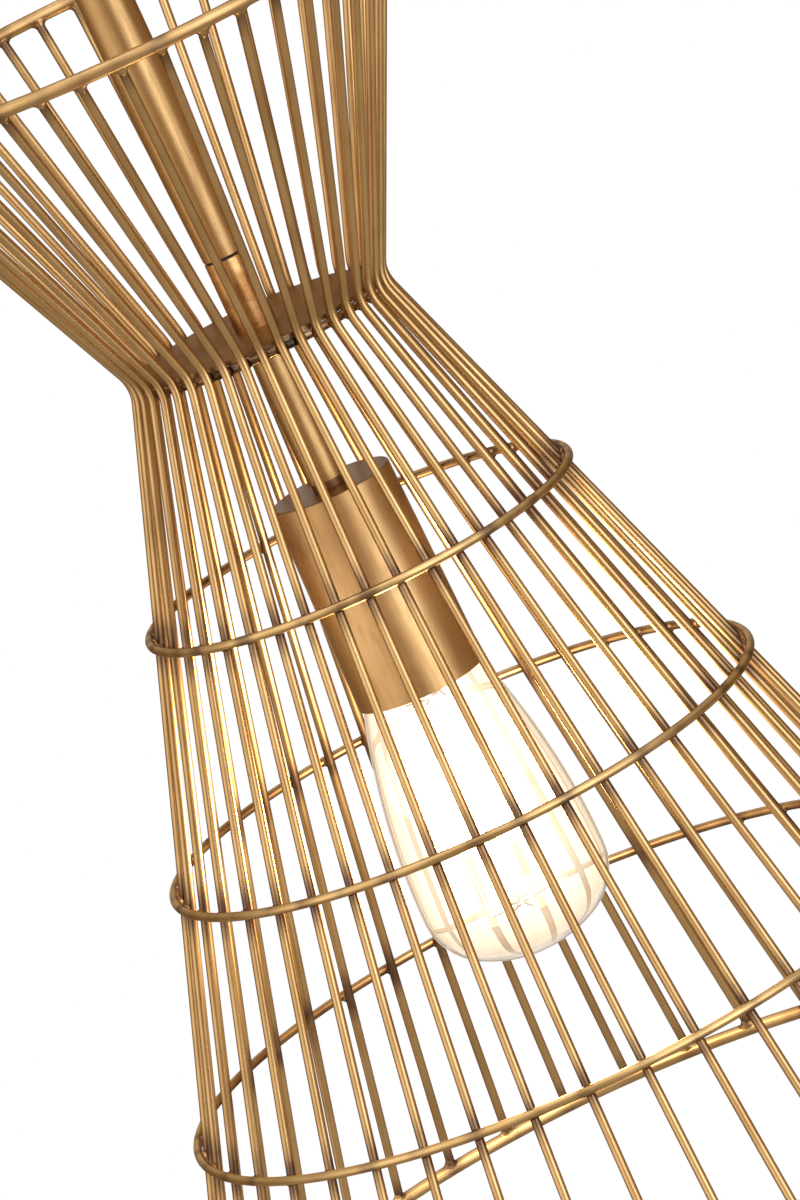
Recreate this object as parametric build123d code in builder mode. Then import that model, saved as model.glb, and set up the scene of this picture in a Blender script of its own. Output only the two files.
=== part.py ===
"""Mini pendant lamp: an hourglass cage of bent brass wires on a jointed rod, with a tall pear-shaped bulb.

Millimetres, +Z up. The origin is where the crossbar bolts to the ceiling box, so the lamp hangs below z = 0.
"""

import math
import os

from build123d import *

# Threads shared by several pieces, drawn as plain cylinders
NIPPLE_DIAMETER = 10.0
NIPPLE_BORE = 7.0
THREAD_DEPTH = 12.0
NUT_ACROSS_FLATS = 14.0
NUT_HEIGHT = 3.0

# Ceiling crossbar and what is screwed into it
STRAP_LENGTH = 106.0
STRAP_WIDTH = 18.0
STRAP_THICKNESS = 2.0
BOX_SLOT_SPACING = 88.9
BOX_SLOT_LENGTH = 10.0
BOX_SLOT_WIDTH = 5.0
STUD_SPACING = 69.85
STUD_DIAMETER = 4.0
STUD_NUT_ACROSS_FLATS = 7.0
STUD_NUT_HEIGHT = 3.0
GROUND_SCREW_DIAMETER = 3.5
GROUND_SCREW_FROM_CENTRE = 20.0
GROUND_HEAD_ACROSS_FLATS = 7.0
GROUND_HEAD_HEIGHT = 3.5

# Canopy, a spun dish
CANOPY_DIAMETER = 127.0
CANOPY_DEPTH = 25.0
CANOPY_WALL = 1.0
CANOPY_SHOULDER_RADIUS = 14.0
CANOPY_HOLE_CLEARANCE = 0.3
CANOPY_WASHER_DIAMETER = 22.0
CANOPY_WASHER_THICKNESS = 1.2
CAP_NUT_DIAMETER = 9.5
CAP_NUT_HEIGHT = 11.0
CAP_NUT_THREAD = 7.0

# Swivel under the canopy: two yokes on one cross block
SWIVEL_DIAMETER = 20.0
YOKE_HUB = 6.0
YOKE_GAP = 8.9
YOKE_EDGE = 1.0
EAR_WIDTH = 7.0
EAR_CLEARANCE = 0.3
PIN_DIAMETER = 4.0
PIN_CLEARANCE = 0.05
CROSS_SIZE = 12.0
CROSS_HEIGHT = 10.0
CROSS_EDGE = 0.8
WIRE_HOLE = 5.0
PIN_WALL = 0.5

# Drop rod and the tapered stem below it
STEM_DIAMETER = 17.4
STEM_WALL = 1.2
STEM_FOOT_DIAMETER = 13.8
STEM_TAPER_LENGTH = 77.0
STEM_LENGTH = 150.0
ROD_LENGTH = 305.0

# Waist: washer, coupler and disc on one nipple
WASHER_DIAMETER = 12.4
WASHER_THICKNESS = 1.0
COUPLER_LENGTH = 24.2
DISC_DIAMETER = 82.0
DISC_THICKNESS = 1.5

# Cage of bent wires, by the centrelines of its rods
WIRE_GROUPS = 14
WIRES_PER_GROUP = 3
WIRE_DIAMETER = 3.0
WIRE_BEND_RADIUS = 13.5
HOOP_DIAMETER = 3.0
RING_DIAMETER = 4.5
WAIST_RADIUS = 43.3
CAGE_TOP_RADIUS = 93.0
CAGE_TOP_HEIGHT = 109.0
CAGE_BOTTOM_RADIUS = 155.0
CAGE_BOTTOM_DEPTH = 318.0
HOOP_SPACING = 80.0
WELD_SINK = 0.15

# Lower stem and socket cup
LOWER_STEM_DIAMETER = 12.7
LOWER_STEM_LENGTH = 53.0
CUP_SPACER_DIAMETER = 11.4
CUP_SPACER_HEIGHT = 2.5
CUP_TOP_DIAMETER = 41.0
CUP_RIM_DIAMETER = 44.2
CUP_LENGTH = 71.4
CUP_TOP_THICKNESS = 1.2
CUP_WALL = 0.8
CUP_EDGE = 0.6

# Bulb with a medium screw cap
BULB_BELOW_RIM = 96.5
BULB_ABOVE_RIM = 42.0
BULB_DIAMETER = 64.0
BULB_WIDEST_BELOW_RIM = 72.5
BULB_SHOULDER_RADIUS = 21.0
BULB_NECK_RADIUS = 15.6
NECK_STEP = 2.0
GLASS_WALL = 0.8
CAP_DIAMETER = 26.2
CAP_WALL = 0.35
CAP_LENGTH = 26.0
CAP_SHOULDER = 4.4
CONTACT_DIAMETER = 9.6
CONTACT_THICKNESS = 1.0
INSULATOR_TOP_DIAMETER = 11.0
STEM_GLASS_DIAMETER = 4.0
STEM_GLASS_TO_TIP = 12.0
STRANDS = 12
STRAND_DIAMETER = 0.6
STRAND_UPPER_RADIUS = 8.5
STRAND_LOWER_RADIUS = 11.0
STRAND_TOP_BELOW_RIM = 6.0
SUPPORT_DIAMETER = 0.8

# Lampholder inside the cup
SHELL_CLEARANCE = 0.3
SHELL_WALL = 0.4
SHELL_LENGTH = 24.0
HOLDER_DIAMETER = 34.0
HOLDER_EDGE = 2.0
HOLDER_FLOOR_ABOVE_CONTACT = 2.2
HOLDER_WIRE_HOLE = 6.0
BRACKET_DIAMETER = 30.0
BRACKET_THICKNESS = 1.5
BRACKET_COLLAR_DIAMETER = 14.0
BRACKET_COLLAR_HEIGHT = 5.0
TONGUE_WIDTH = 6.0
TONGUE_LENGTH = 18.0
TONGUE_THICKNESS = 0.5
TONGUE_GAP = 0.3
HOLDER_SCREW_DIAMETER = 3.5
HOLDER_SCREW_HEAD = 6.5
HOLDER_SCREW_HEAD_HEIGHT = 2.0
HOLDER_SCREW_DEPTH = 8.0
HOLDER_SCREW_SPACING = 22.0

# Heights of the joins, worked down from the ceiling
CANOPY_BASE_Z = -CANOPY_DEPTH
SWIVEL_Z = CANOPY_BASE_Z - YOKE_HUB - YOKE_GAP
ROD_TOP_Z = SWIVEL_Z - YOKE_GAP - YOKE_HUB
STEM_TOP_Z = ROD_TOP_Z - ROD_LENGTH
STEM_FOOT_Z = STEM_TOP_Z - STEM_LENGTH
COUPLER_TOP_Z = STEM_FOOT_Z - WASHER_THICKNESS
DISC_TOP_Z = COUPLER_TOP_Z - COUPLER_LENGTH
WAIST_Z = DISC_TOP_Z - DISC_THICKNESS
CUP_SPACER_TOP_Z = WAIST_Z - LOWER_STEM_LENGTH
CUP_TOP_Z = CUP_SPACER_TOP_Z - CUP_SPACER_HEIGHT
RIM_Z = CUP_TOP_Z - CUP_LENGTH
CONTACT_Z = RIM_Z + BULB_ABOVE_RIM
CAP_MOUTH_Z = CONTACT_Z - CAP_LENGTH
BULB_TIP_Z = RIM_Z - BULB_BELOW_RIM
NECK_TOP_Z = CAP_MOUTH_Z + THREAD_DEPTH / 2

# Slopes of the wires and radii that follow from them
UPPER_LEAN = math.atan2(CAGE_TOP_RADIUS - WAIST_RADIUS, CAGE_TOP_HEIGHT)
LOWER_LEAN = math.atan2(CAGE_BOTTOM_RADIUS - WAIST_RADIUS, CAGE_BOTTOM_DEPTH)
WIRE_PITCH = 360.0 / (WIRE_GROUPS * WIRES_PER_GROUP)

os.makedirs("parts", exist_ok=True)


def save(piece, name):
    """Label a finished piece and write it to its own file."""
    piece.part.label = name
    export_step(piece.part, f"parts/{name}.step")


def tube(outer_diameter, bore_diameter, bottom, top):
    """A straight tube, bush or washer on the lamp's axis."""
    with BuildPart() as piece:
        with BuildSketch(Plane.XY.offset(bottom)):
            Circle(outer_diameter / 2)
            Circle(bore_diameter / 2, mode=Mode.SUBTRACT)
        extrude(amount=top - bottom)
    return piece


def hex_nut(across_flats, bore_diameter, bottom, height, places=((0, 0),)):
    """Hexagon nuts of one size at the given places."""
    with BuildPart() as piece:
        with BuildSketch(Plane.XY.offset(bottom)):
            with Locations(*places):
                RegularPolygon(across_flats / 2, 6, major_radius=False)
                Circle(bore_diameter / 2, mode=Mode.SUBTRACT)
        extrude(amount=height)
    return piece


def rod_ring(radius, rod_diameter, height):
    """A round rod bent into a closed ring about the lamp's axis."""
    with BuildPart() as piece:
        with BuildSketch(Plane.XZ):
            with Locations((radius, height)):
                Circle(rod_diameter / 2)
        revolve(axis=Axis.Z)
    return piece


def straight_wires(diameter, runs):
    """Thin straight wires, one for each (start, end) pair of points."""
    with BuildPart() as piece:
        for start, end in runs:
            along = Vector(*end) - Vector(*start)
            with BuildSketch(Plane(origin=start, z_dir=along)):
                Circle(diameter / 2)
            extrude(amount=along.length)
    return piece


# Crossbar: a flat strap with round ends, slots for the ceiling box and tapped holes for the studs
stud_places = [(-STUD_SPACING / 2, 0), (STUD_SPACING / 2, 0)]
slot_places = [(-BOX_SLOT_SPACING / 2, 0), (BOX_SLOT_SPACING / 2, 0)]
with BuildPart() as crossbar:
    with BuildSketch(Plane.XY.offset(-STRAP_THICKNESS)):
        SlotOverall(STRAP_LENGTH, STRAP_WIDTH)
        Circle(NIPPLE_DIAMETER / 2, mode=Mode.SUBTRACT)
        with Locations(*slot_places):
            SlotOverall(BOX_SLOT_LENGTH, BOX_SLOT_WIDTH, mode=Mode.SUBTRACT)
        with Locations(*stud_places):
            Circle(STUD_DIAMETER / 2, mode=Mode.SUBTRACT)
        with Locations((GROUND_SCREW_FROM_CENTRE, 0)):
            Circle(GROUND_SCREW_DIAMETER / 2, mode=Mode.SUBTRACT)
    extrude(amount=STRAP_THICKNESS)
save(crossbar, "crossbar")

# Two threaded studs hang from the crossbar, each locked by a hexagon nut
stud_end_z = CANOPY_BASE_Z - CAP_NUT_THREAD
with BuildPart() as canopy_studs:
    with BuildSketch(Plane.XY.offset(stud_end_z)):
        with Locations(*stud_places):
            Circle(STUD_DIAMETER / 2)
    extrude(amount=-stud_end_z)
save(canopy_studs, "canopy_studs")
stud_nuts = hex_nut(
    STUD_NUT_ACROSS_FLATS, STUD_DIAMETER, -STRAP_THICKNESS - STUD_NUT_HEIGHT, STUD_NUT_HEIGHT, stud_places
)
save(stud_nuts, "stud_lock_nuts")

# Ground screw: hexagon head under the strap, shank through it
with BuildPart() as ground_screw:
    with BuildSketch(Plane.XY.offset(-STRAP_THICKNESS - GROUND_HEAD_HEIGHT)):
        with Locations((GROUND_SCREW_FROM_CENTRE, 0)):
            RegularPolygon(GROUND_HEAD_ACROSS_FLATS / 2, 6, major_radius=False)
    extrude(amount=GROUND_HEAD_HEIGHT)
    with BuildSketch(Plane.XY.offset(-STRAP_THICKNESS)):
        with Locations((GROUND_SCREW_FROM_CENTRE, 0)):
            Circle(GROUND_SCREW_DIAMETER / 2)
    extrude(amount=STRAP_THICKNESS)
save(ground_screw, "ground_screw")

# Canopy: a spun dish with a soft shoulder, its rim against the ceiling
canopy_radius = CANOPY_DIAMETER / 2
canopy_hole_radius = NIPPLE_DIAMETER / 2 + CANOPY_HOLE_CLEARANCE
with BuildPart() as canopy:
    with BuildSketch(Plane.XZ):
        with BuildLine():
            FilletPolyline(
                (0, CANOPY_BASE_Z),
                (canopy_radius, CANOPY_BASE_Z),
                (canopy_radius, 0),
                radius=CANOPY_SHOULDER_RADIUS,
            )
            Line((canopy_radius, 0), (canopy_radius - CANOPY_WALL, 0))
            FilletPolyline(
                (canopy_radius - CANOPY_WALL, 0),
                (canopy_radius - CANOPY_WALL, CANOPY_BASE_Z + CANOPY_WALL),
                (0, CANOPY_BASE_Z + CANOPY_WALL),
                radius=CANOPY_SHOULDER_RADIUS - CANOPY_WALL,
            )
            Line((0, CANOPY_BASE_Z + CANOPY_WALL), (0, CANOPY_BASE_Z))
        make_face()
    revolve(axis=Axis.Z)
    with Locations((0, 0, CANOPY_BASE_Z + CANOPY_WALL)):
        Hole(canopy_hole_radius, depth=2 * CANOPY_WALL)
    with Locations(*[(x, y, CANOPY_BASE_Z + CANOPY_WALL) for x, y in stud_places]):
        Hole(STUD_DIAMETER / 2 + CANOPY_HOLE_CLEARANCE, depth=2 * CANOPY_WALL)
save(canopy, "canopy")

# Cap nuts: round-ended and tapped blind, they hold the canopy up on the studs
with BuildPart() as cap_nut:
    with BuildSketch(Plane.XZ):
        with BuildLine():
            shoulder_z = CAP_NUT_DIAMETER / 2 - CAP_NUT_HEIGHT
            Polyline((0, 0), (CAP_NUT_DIAMETER / 2, 0), (CAP_NUT_DIAMETER / 2, shoulder_z))
            TangentArc((CAP_NUT_DIAMETER / 2, shoulder_z), (0, -CAP_NUT_HEIGHT), tangent=(0, -1))
            Line((0, -CAP_NUT_HEIGHT), (0, 0))
        make_face()
    revolve(axis=Axis.Z)
    Hole(STUD_DIAMETER / 2, depth=CAP_NUT_THREAD)
with BuildPart() as canopy_cap_nuts:
    with Locations(*[(x, y, CANOPY_BASE_Z) for x, y in stud_places]):
        add(cap_nut.part)
save(canopy_cap_nuts, "canopy_cap_nuts")

# Swivel yoke about its own joint centre: hub above, two ears down, pin bores along X
swivel_radius = SWIVEL_DIAMETER / 2
ear_inner = CROSS_SIZE / 2 + EAR_CLEARANCE
with BuildPart() as yoke:
    with BuildSketch(Plane.YZ.offset(-swivel_radius)):
        Circle(EAR_WIDTH / 2)
        with Locations((0, YOKE_GAP / 2)):
            Rectangle(EAR_WIDTH, YOKE_GAP)
    extrude(amount=SWIVEL_DIAMETER)
    with BuildSketch(Plane.XZ.offset(-EAR_WIDTH)):
        with Locations((0, YOKE_GAP / 2 - EAR_WIDTH / 4)):
            Rectangle(2 * ear_inner, YOKE_GAP + EAR_WIDTH / 2)
    extrude(amount=2 * EAR_WIDTH, mode=Mode.SUBTRACT)
    with BuildSketch(Plane.XY.offset(YOKE_GAP)):
        Circle(swivel_radius)
    hub = extrude(amount=YOKE_HUB)
    with BuildSketch(Plane.XY.offset(-EAR_WIDTH / 2)):
        Circle(swivel_radius)
    extrude(amount=EAR_WIDTH / 2 + YOKE_GAP + YOKE_HUB, mode=Mode.INTERSECT)
    chamfer(yoke.faces().sort_by(Axis.Z)[-1].edges(), YOKE_EDGE)
    with Locations((0, 0, YOKE_GAP + YOKE_HUB)):
        Hole(NIPPLE_DIAMETER / 2, depth=YOKE_HUB)
    with Locations(Location((swivel_radius, 0, 0), (0, 90, 0))):
        Hole(PIN_DIAMETER / 2 + PIN_CLEARANCE, depth=SWIVEL_DIAMETER)

with BuildPart() as swivel_upper_yoke:
    with Locations((0, 0, SWIVEL_Z)):
        add(yoke.part)
save(swivel_upper_yoke, "swivel_upper_yoke")

# The lower yoke is the same piece, upside down and turned a quarter
with BuildPart() as swivel_lower_yoke:
    with Locations(Location((0, 0, SWIVEL_Z), (180, 0, 90))):
        add(yoke.part)
save(swivel_lower_yoke, "swivel_lower_yoke")

# Cross block: a small cube with a wire hole down it and a pressed-in pin on each side
with BuildPart() as swivel_cross:
    with Locations((0, 0, SWIVEL_Z)):
        Box(CROSS_SIZE, CROSS_SIZE, CROSS_HEIGHT)
    chamfer(swivel_cross.edges().filter_by(Axis.Z), CROSS_EDGE)
    with Locations((0, 0, SWIVEL_Z + CROSS_HEIGHT / 2)):
        Hole(WIRE_HOLE / 2, depth=CROSS_HEIGHT)
    for turn in range(4):
        side = Plane.XZ.rotated((0, 0, 90 * turn)).offset(CROSS_SIZE / 2)
        with BuildSketch(side):
            with Locations((0, SWIVEL_Z)):
                Circle(PIN_DIAMETER / 2)
        extrude(amount=-(CROSS_SIZE / 2 - WIRE_HOLE / 2 - PIN_WALL), mode=Mode.SUBTRACT)
save(swivel_cross, "swivel_cross")

pin_start = WIRE_HOLE / 2 + PIN_WALL
pin_end = math.sqrt(swivel_radius**2 - (PIN_DIAMETER / 2) ** 2)
pin_runs = [
    ((pin_start * x, pin_start * y, SWIVEL_Z), (pin_end * x, pin_end * y, SWIVEL_Z))
    for x, y in ((1, 0), (0, 1), (-1, 0), (0, -1))
]
save(straight_wires(PIN_DIAMETER, pin_runs), "swivel_pins")

# Hollow nipple from the upper yoke through the canopy, with its washer and lock nut
nipple_top_z = CANOPY_BASE_Z + CANOPY_WALL + CANOPY_WASHER_THICKNESS + NUT_HEIGHT + NUT_HEIGHT
save(tube(NIPPLE_DIAMETER, NIPPLE_BORE, SWIVEL_Z + YOKE_GAP, nipple_top_z), "canopy_nipple")
washer_z = CANOPY_BASE_Z + CANOPY_WALL
canopy_washer = tube(
    CANOPY_WASHER_DIAMETER,
    NIPPLE_DIAMETER + 2 * CANOPY_HOLE_CLEARANCE,
    washer_z,
    washer_z + CANOPY_WASHER_THICKNESS,
)
save(canopy_washer, "canopy_washer")
canopy_nut = hex_nut(NUT_ACROSS_FLATS, NIPPLE_DIAMETER, washer_z + CANOPY_WASHER_THICKNESS, NUT_HEIGHT)
save(canopy_nut, "canopy_lock_nut")

# Drop rod: a plain tube with a tapped bush brazed into each end
stem_bore = STEM_DIAMETER - 2 * STEM_WALL
save(tube(STEM_DIAMETER, stem_bore, STEM_TOP_Z, ROD_TOP_Z), "drop_rod")
with BuildPart() as rod_bushes:
    for bush_bottom in (STEM_TOP_Z, ROD_TOP_Z - THREAD_DEPTH):
        add(tube(stem_bore, NIPPLE_DIAMETER, bush_bottom, bush_bottom + THREAD_DEPTH).part)
save(rod_bushes, "drop_rod_bushes")
rod_nipple = tube(NIPPLE_DIAMETER, NIPPLE_BORE, ROD_TOP_Z - THREAD_DEPTH, ROD_TOP_Z + YOKE_HUB)
save(rod_nipple, "rod_top_nipple")

# Tapered stem: the tube is drawn in to its foot along one long arc, and tapped there
taper_top_z = STEM_FOOT_Z + STEM_TAPER_LENGTH
foot_thread_z = STEM_FOOT_Z + THREAD_DEPTH
with BuildPart() as stem_tube:
    with BuildSketch(Plane.XZ):
        with BuildLine():
            Polyline(
                (STEM_DIAMETER / 2, taper_top_z),
                (STEM_DIAMETER / 2, STEM_TOP_Z),
                (stem_bore / 2, STEM_TOP_Z),
                (stem_bore / 2, taper_top_z),
            )
            Line((stem_bore / 2, taper_top_z), (NIPPLE_DIAMETER / 2, foot_thread_z))
            Polyline(
                (NIPPLE_DIAMETER / 2, foot_thread_z),
                (NIPPLE_DIAMETER / 2, STEM_FOOT_Z),
                (STEM_FOOT_DIAMETER / 2, STEM_FOOT_Z),
            )
            TangentArc(
                (STEM_DIAMETER / 2, taper_top_z),
                (STEM_FOOT_DIAMETER / 2, STEM_FOOT_Z),
                tangent=(0, -1),
            )
        make_face()
    revolve(axis=Axis.Z)
save(stem_tube, "tapered_stem")
stem_bush = tube(stem_bore, NIPPLE_DIAMETER, STEM_TOP_Z - THREAD_DEPTH, STEM_TOP_Z)
save(stem_bush, "stem_top_bush")
joint_nipple = tube(NIPPLE_DIAMETER, NIPPLE_BORE, STEM_TOP_Z - THREAD_DEPTH, STEM_TOP_Z + THREAD_DEPTH)
save(joint_nipple, "stem_joint_nipple")

# Waist: one long nipple clamps stem, dark washer, coupler, disc and lower stem together
save(tube(WASHER_DIAMETER, NIPPLE_DIAMETER, COUPLER_TOP_Z, STEM_FOOT_Z), "stem_washer")
save(tube(STEM_FOOT_DIAMETER, NIPPLE_DIAMETER, DISC_TOP_Z, COUPLER_TOP_Z), "stem_coupler")
save(tube(DISC_DIAMETER, NIPPLE_DIAMETER, WAIST_Z, DISC_TOP_Z), "waist_disc")
save(tube(NIPPLE_DIAMETER, NIPPLE_BORE, WAIST_Z - THREAD_DEPTH, foot_thread_z), "waist_nipple")

# One cage wire: a rod bent once at the waist, its square ends pressed into the two end rings
top_centre = Vector(CAGE_TOP_RADIUS, 0, WAIST_Z + CAGE_TOP_HEIGHT)
waist_corner = Vector(WAIST_RADIUS, 0, WAIST_Z)
bottom_centre = Vector(CAGE_BOTTOM_RADIUS, 0, WAIST_Z - CAGE_BOTTOM_DEPTH)
end_gap = RING_DIAMETER / 2 - WELD_SINK
wire_top = top_centre + (waist_corner - top_centre).normalized() * end_gap
wire_bottom = bottom_centre + (waist_corner - bottom_centre).normalized() * end_gap
with BuildPart() as cage_wire:
    with BuildLine() as wire_path:
        FilletPolyline(wire_top, waist_corner, wire_bottom, radius=WIRE_BEND_RADIUS)
    with BuildSketch(wire_path.line ^ 0):
        Circle(WIRE_DIAMETER / 2)
    sweep()

# The wires stand evenly round the axis, a few to each file
for group in range(WIRE_GROUPS):
    with BuildPart() as cage_wires:
        first_angle = group * WIRES_PER_GROUP * WIRE_PITCH
        with PolarLocations(0, WIRES_PER_GROUP, first_angle, WIRES_PER_GROUP * WIRE_PITCH):
            add(cage_wire.part)
    save(cage_wires, f"cage_wires_{group + 1:02d}")

# End rings: the wires run to the middle of each ring's section
top_ring = rod_ring(CAGE_TOP_RADIUS, RING_DIAMETER, WAIST_Z + CAGE_TOP_HEIGHT)
save(top_ring, "top_ring")
bottom_ring = rod_ring(CAGE_BOTTOM_RADIUS, RING_DIAMETER, WAIST_Z - CAGE_BOTTOM_DEPTH)
save(bottom_ring, "bottom_ring")

# Waist ring: it lies inside the bends, and the disc stands on it
bend_centre = wire_path.edges().filter_by(GeomType.CIRCLE)[0].arc_center
waist_ring_z = WAIST_Z - HOOP_DIAMETER / 2
weld_distance = (WIRE_DIAMETER + HOOP_DIAMETER) / 2 - WELD_SINK
ring_from_bend = math.sqrt((WIRE_BEND_RADIUS + weld_distance) ** 2 - (waist_ring_z - bend_centre.Z) ** 2)
save(rod_ring(bend_centre.X - ring_from_bend, HOOP_DIAMETER, waist_ring_z), "waist_ring")

# Hoops: three lighter rings round the outside of the wires, spaced up from the bottom ring
for steps, name in ((1, "lower_hoop"), (2, "middle_hoop"), (3, "upper_hoop")):
    depth = CAGE_BOTTOM_DEPTH - steps * HOOP_SPACING
    wire_radius = WAIST_RADIUS + depth * math.tan(LOWER_LEAN)
    hoop = rod_ring(wire_radius + weld_distance / math.cos(LOWER_LEAN), HOOP_DIAMETER, WAIST_Z - depth)
    save(hoop, name)

# Lower stem, with the dark spacer at its foot and the nipple that carries the cup
save(tube(LOWER_STEM_DIAMETER, NIPPLE_DIAMETER, CUP_SPACER_TOP_Z, WAIST_Z), "lower_stem")
save(tube(CUP_SPACER_DIAMETER, NIPPLE_DIAMETER, CUP_TOP_Z, CUP_SPACER_TOP_Z), "cup_spacer")
cup_nut_top_z = CUP_TOP_Z - CUP_TOP_THICKNESS
collar_top_z = cup_nut_top_z - NUT_HEIGHT
bracket_z = collar_top_z - BRACKET_COLLAR_HEIGHT
cup_nipple = tube(NIPPLE_DIAMETER, NIPPLE_BORE, bracket_z, CUP_SPACER_TOP_Z + THREAD_DEPTH)
save(cup_nipple, "cup_nipple")

# Socket cup: flat top, sides that open slightly towards the rim
with BuildPart() as socket_cup:
    with BuildSketch(Plane.XZ) as cup_section:
        with BuildLine():
            Polyline(
                (NIPPLE_DIAMETER / 2, CUP_TOP_Z),
                (CUP_TOP_DIAMETER / 2, CUP_TOP_Z),
                (CUP_RIM_DIAMETER / 2, RIM_Z),
                (CUP_RIM_DIAMETER / 2 - CUP_WALL, RIM_Z),
                (CUP_TOP_DIAMETER / 2 - CUP_WALL, cup_nut_top_z),
                (NIPPLE_DIAMETER / 2, cup_nut_top_z),
                close=True,
            )
        make_face()
        fillet(cup_section.vertices().group_by(Axis.Y)[-1].sort_by(Axis.X)[-1], CUP_EDGE)
    revolve(axis=Axis.Z)
save(socket_cup, "socket_cup")
save(hex_nut(NUT_ACROSS_FLATS, NIPPLE_DIAMETER, collar_top_z, NUT_HEIGHT), "cup_lock_nut")

# Lampholder bracket: a plate with a tapped collar, screwed to the insulating body
screw_places = [(0, -HOLDER_SCREW_SPACING / 2), (0, HOLDER_SCREW_SPACING / 2)]
bracket_base_z = bracket_z - BRACKET_THICKNESS
with BuildPart() as bracket:
    with BuildSketch(Plane.XY.offset(bracket_base_z)):
        Circle(BRACKET_DIAMETER / 2)
        with Locations(*screw_places):
            Circle(HOLDER_SCREW_DIAMETER / 2, mode=Mode.SUBTRACT)
    extrude(amount=BRACKET_THICKNESS)
    with BuildSketch(Plane.XY.offset(bracket_z)):
        Circle(BRACKET_COLLAR_DIAMETER / 2)
    extrude(amount=BRACKET_COLLAR_HEIGHT)
    with Locations((0, 0, collar_top_z)):
        Hole(NIPPLE_DIAMETER / 2, depth=BRACKET_COLLAR_HEIGHT)
    with Locations((0, 0, bracket_z)):
        Hole(NIPPLE_BORE / 2, depth=BRACKET_THICKNESS)
save(bracket, "lampholder_bracket")

# Insulating body: bored for the screw shell from below and for the wires from above
shell_bore = CAP_DIAMETER + 2 * SHELL_CLEARANCE
shell_outside = shell_bore + 2 * SHELL_WALL
holder_floor_z = CONTACT_Z + HOLDER_FLOOR_ABOVE_CONTACT
shell_mouth_z = CONTACT_Z - SHELL_LENGTH
with BuildPart() as holder_body:
    with BuildSketch(Plane.XY.offset(shell_mouth_z)):
        Circle(HOLDER_DIAMETER / 2)
    extrude(amount=bracket_base_z - shell_mouth_z)
    chamfer(holder_body.faces().sort_by(Axis.Z)[-1].edges(), HOLDER_EDGE)
    with BuildSketch(Plane.XY.offset(shell_mouth_z)):
        Circle(shell_outside / 2)
    extrude(amount=holder_floor_z - shell_mouth_z, mode=Mode.SUBTRACT)
    with Locations((0, 0, bracket_base_z)):
        Hole(HOLDER_WIRE_HOLE / 2, depth=bracket_base_z - holder_floor_z)
    with Locations(*[(x, y, bracket_base_z) for x, y in screw_places]):
        Hole(HOLDER_SCREW_DIAMETER / 2, depth=HOLDER_SCREW_DEPTH)
save(holder_body, "lampholder_body")
save(tube(shell_outside, shell_bore, shell_mouth_z, CONTACT_Z - CAP_SHOULDER), "lampholder_shell")

# Centre tongue: a bowed strip under the floor of the bore, just clear of the bulb's contact
tongue_drop = HOLDER_FLOOR_ABOVE_CONTACT - TONGUE_GAP
with BuildPart() as tongue:
    with BuildSketch(Plane.XZ):
        with BuildLine() as tongue_line:
            ThreePointArc(
                (-TONGUE_LENGTH / 2, holder_floor_z),
                (0, holder_floor_z - tongue_drop + TONGUE_THICKNESS),
                (TONGUE_LENGTH / 2, holder_floor_z),
            )
            offset(amount=TONGUE_THICKNESS, side=Side.RIGHT, closed=True)
        make_face()
        with Locations((0, holder_floor_z + TONGUE_LENGTH / 2)):
            Rectangle(2 * TONGUE_LENGTH, TONGUE_LENGTH, mode=Mode.SUBTRACT)
    extrude(amount=TONGUE_WIDTH / 2, both=True)
save(tongue, "lampholder_tongue")

with BuildPart() as holder_screws:
    with BuildSketch(Plane.XY.offset(bracket_base_z - HOLDER_SCREW_DEPTH)):
        with Locations(*screw_places):
            Circle(HOLDER_SCREW_DIAMETER / 2)
    extrude(amount=HOLDER_SCREW_DEPTH + BRACKET_THICKNESS)
    with BuildSketch(Plane.XY.offset(bracket_z)):
        with Locations(*screw_places):
            Circle(HOLDER_SCREW_HEAD / 2)
    extrude(amount=HOLDER_SCREW_HEAD_HEIGHT)
save(holder_screws, "lampholder_screws")

# Screw cap of the bulb: a thin shell drawn in at the top to the insulator
cap_radius = CAP_DIAMETER / 2
cap_shoulder_z = CONTACT_Z - CAP_SHOULDER
with BuildPart() as bulb_cap:
    with BuildSketch(Plane.XZ):
        with BuildLine():
            Polyline(
                (cap_radius, CAP_MOUTH_Z),
                (cap_radius, cap_shoulder_z - CAP_SHOULDER / 2),
                (cap_radius - CAP_SHOULDER / 2, cap_shoulder_z),
                (cap_radius - CAP_SHOULDER / 2, cap_shoulder_z - CAP_WALL),
                (cap_radius - CAP_WALL, cap_shoulder_z - CAP_WALL - CAP_SHOULDER / 2),
                (cap_radius - CAP_WALL, CAP_MOUTH_Z),
                close=True,
            )
        make_face()
    revolve(axis=Axis.Z)
save(bulb_cap, "bulb_cap")

# Insulating bead between cap and contact, and the contact on top of it
with BuildPart() as bulb_insulator:
    with BuildSketch(Plane.XZ):
        with BuildLine():
            Polyline(
                (0, cap_shoulder_z - CAP_WALL),
                (cap_radius - CAP_SHOULDER / 2, cap_shoulder_z - CAP_WALL),
                (cap_radius - CAP_SHOULDER / 2, cap_shoulder_z),
                (INSULATOR_TOP_DIAMETER / 2, CONTACT_Z - CONTACT_THICKNESS),
                (0, CONTACT_Z - CONTACT_THICKNESS),
                close=True,
            )
        make_face()
    revolve(axis=Axis.Z)
save(bulb_insulator, "bulb_insulator")
with BuildPart() as bulb_contact:
    with BuildSketch(Plane.XY.offset(CONTACT_Z - CONTACT_THICKNESS)):
        Circle(CONTACT_DIAMETER / 2)
    extrude(amount=CONTACT_THICKNESS)
    chamfer(bulb_contact.faces().sort_by(Axis.Z)[-1].edges(), CONTACT_THICKNESS / 2)
save(bulb_contact, "bulb_contact")


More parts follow.
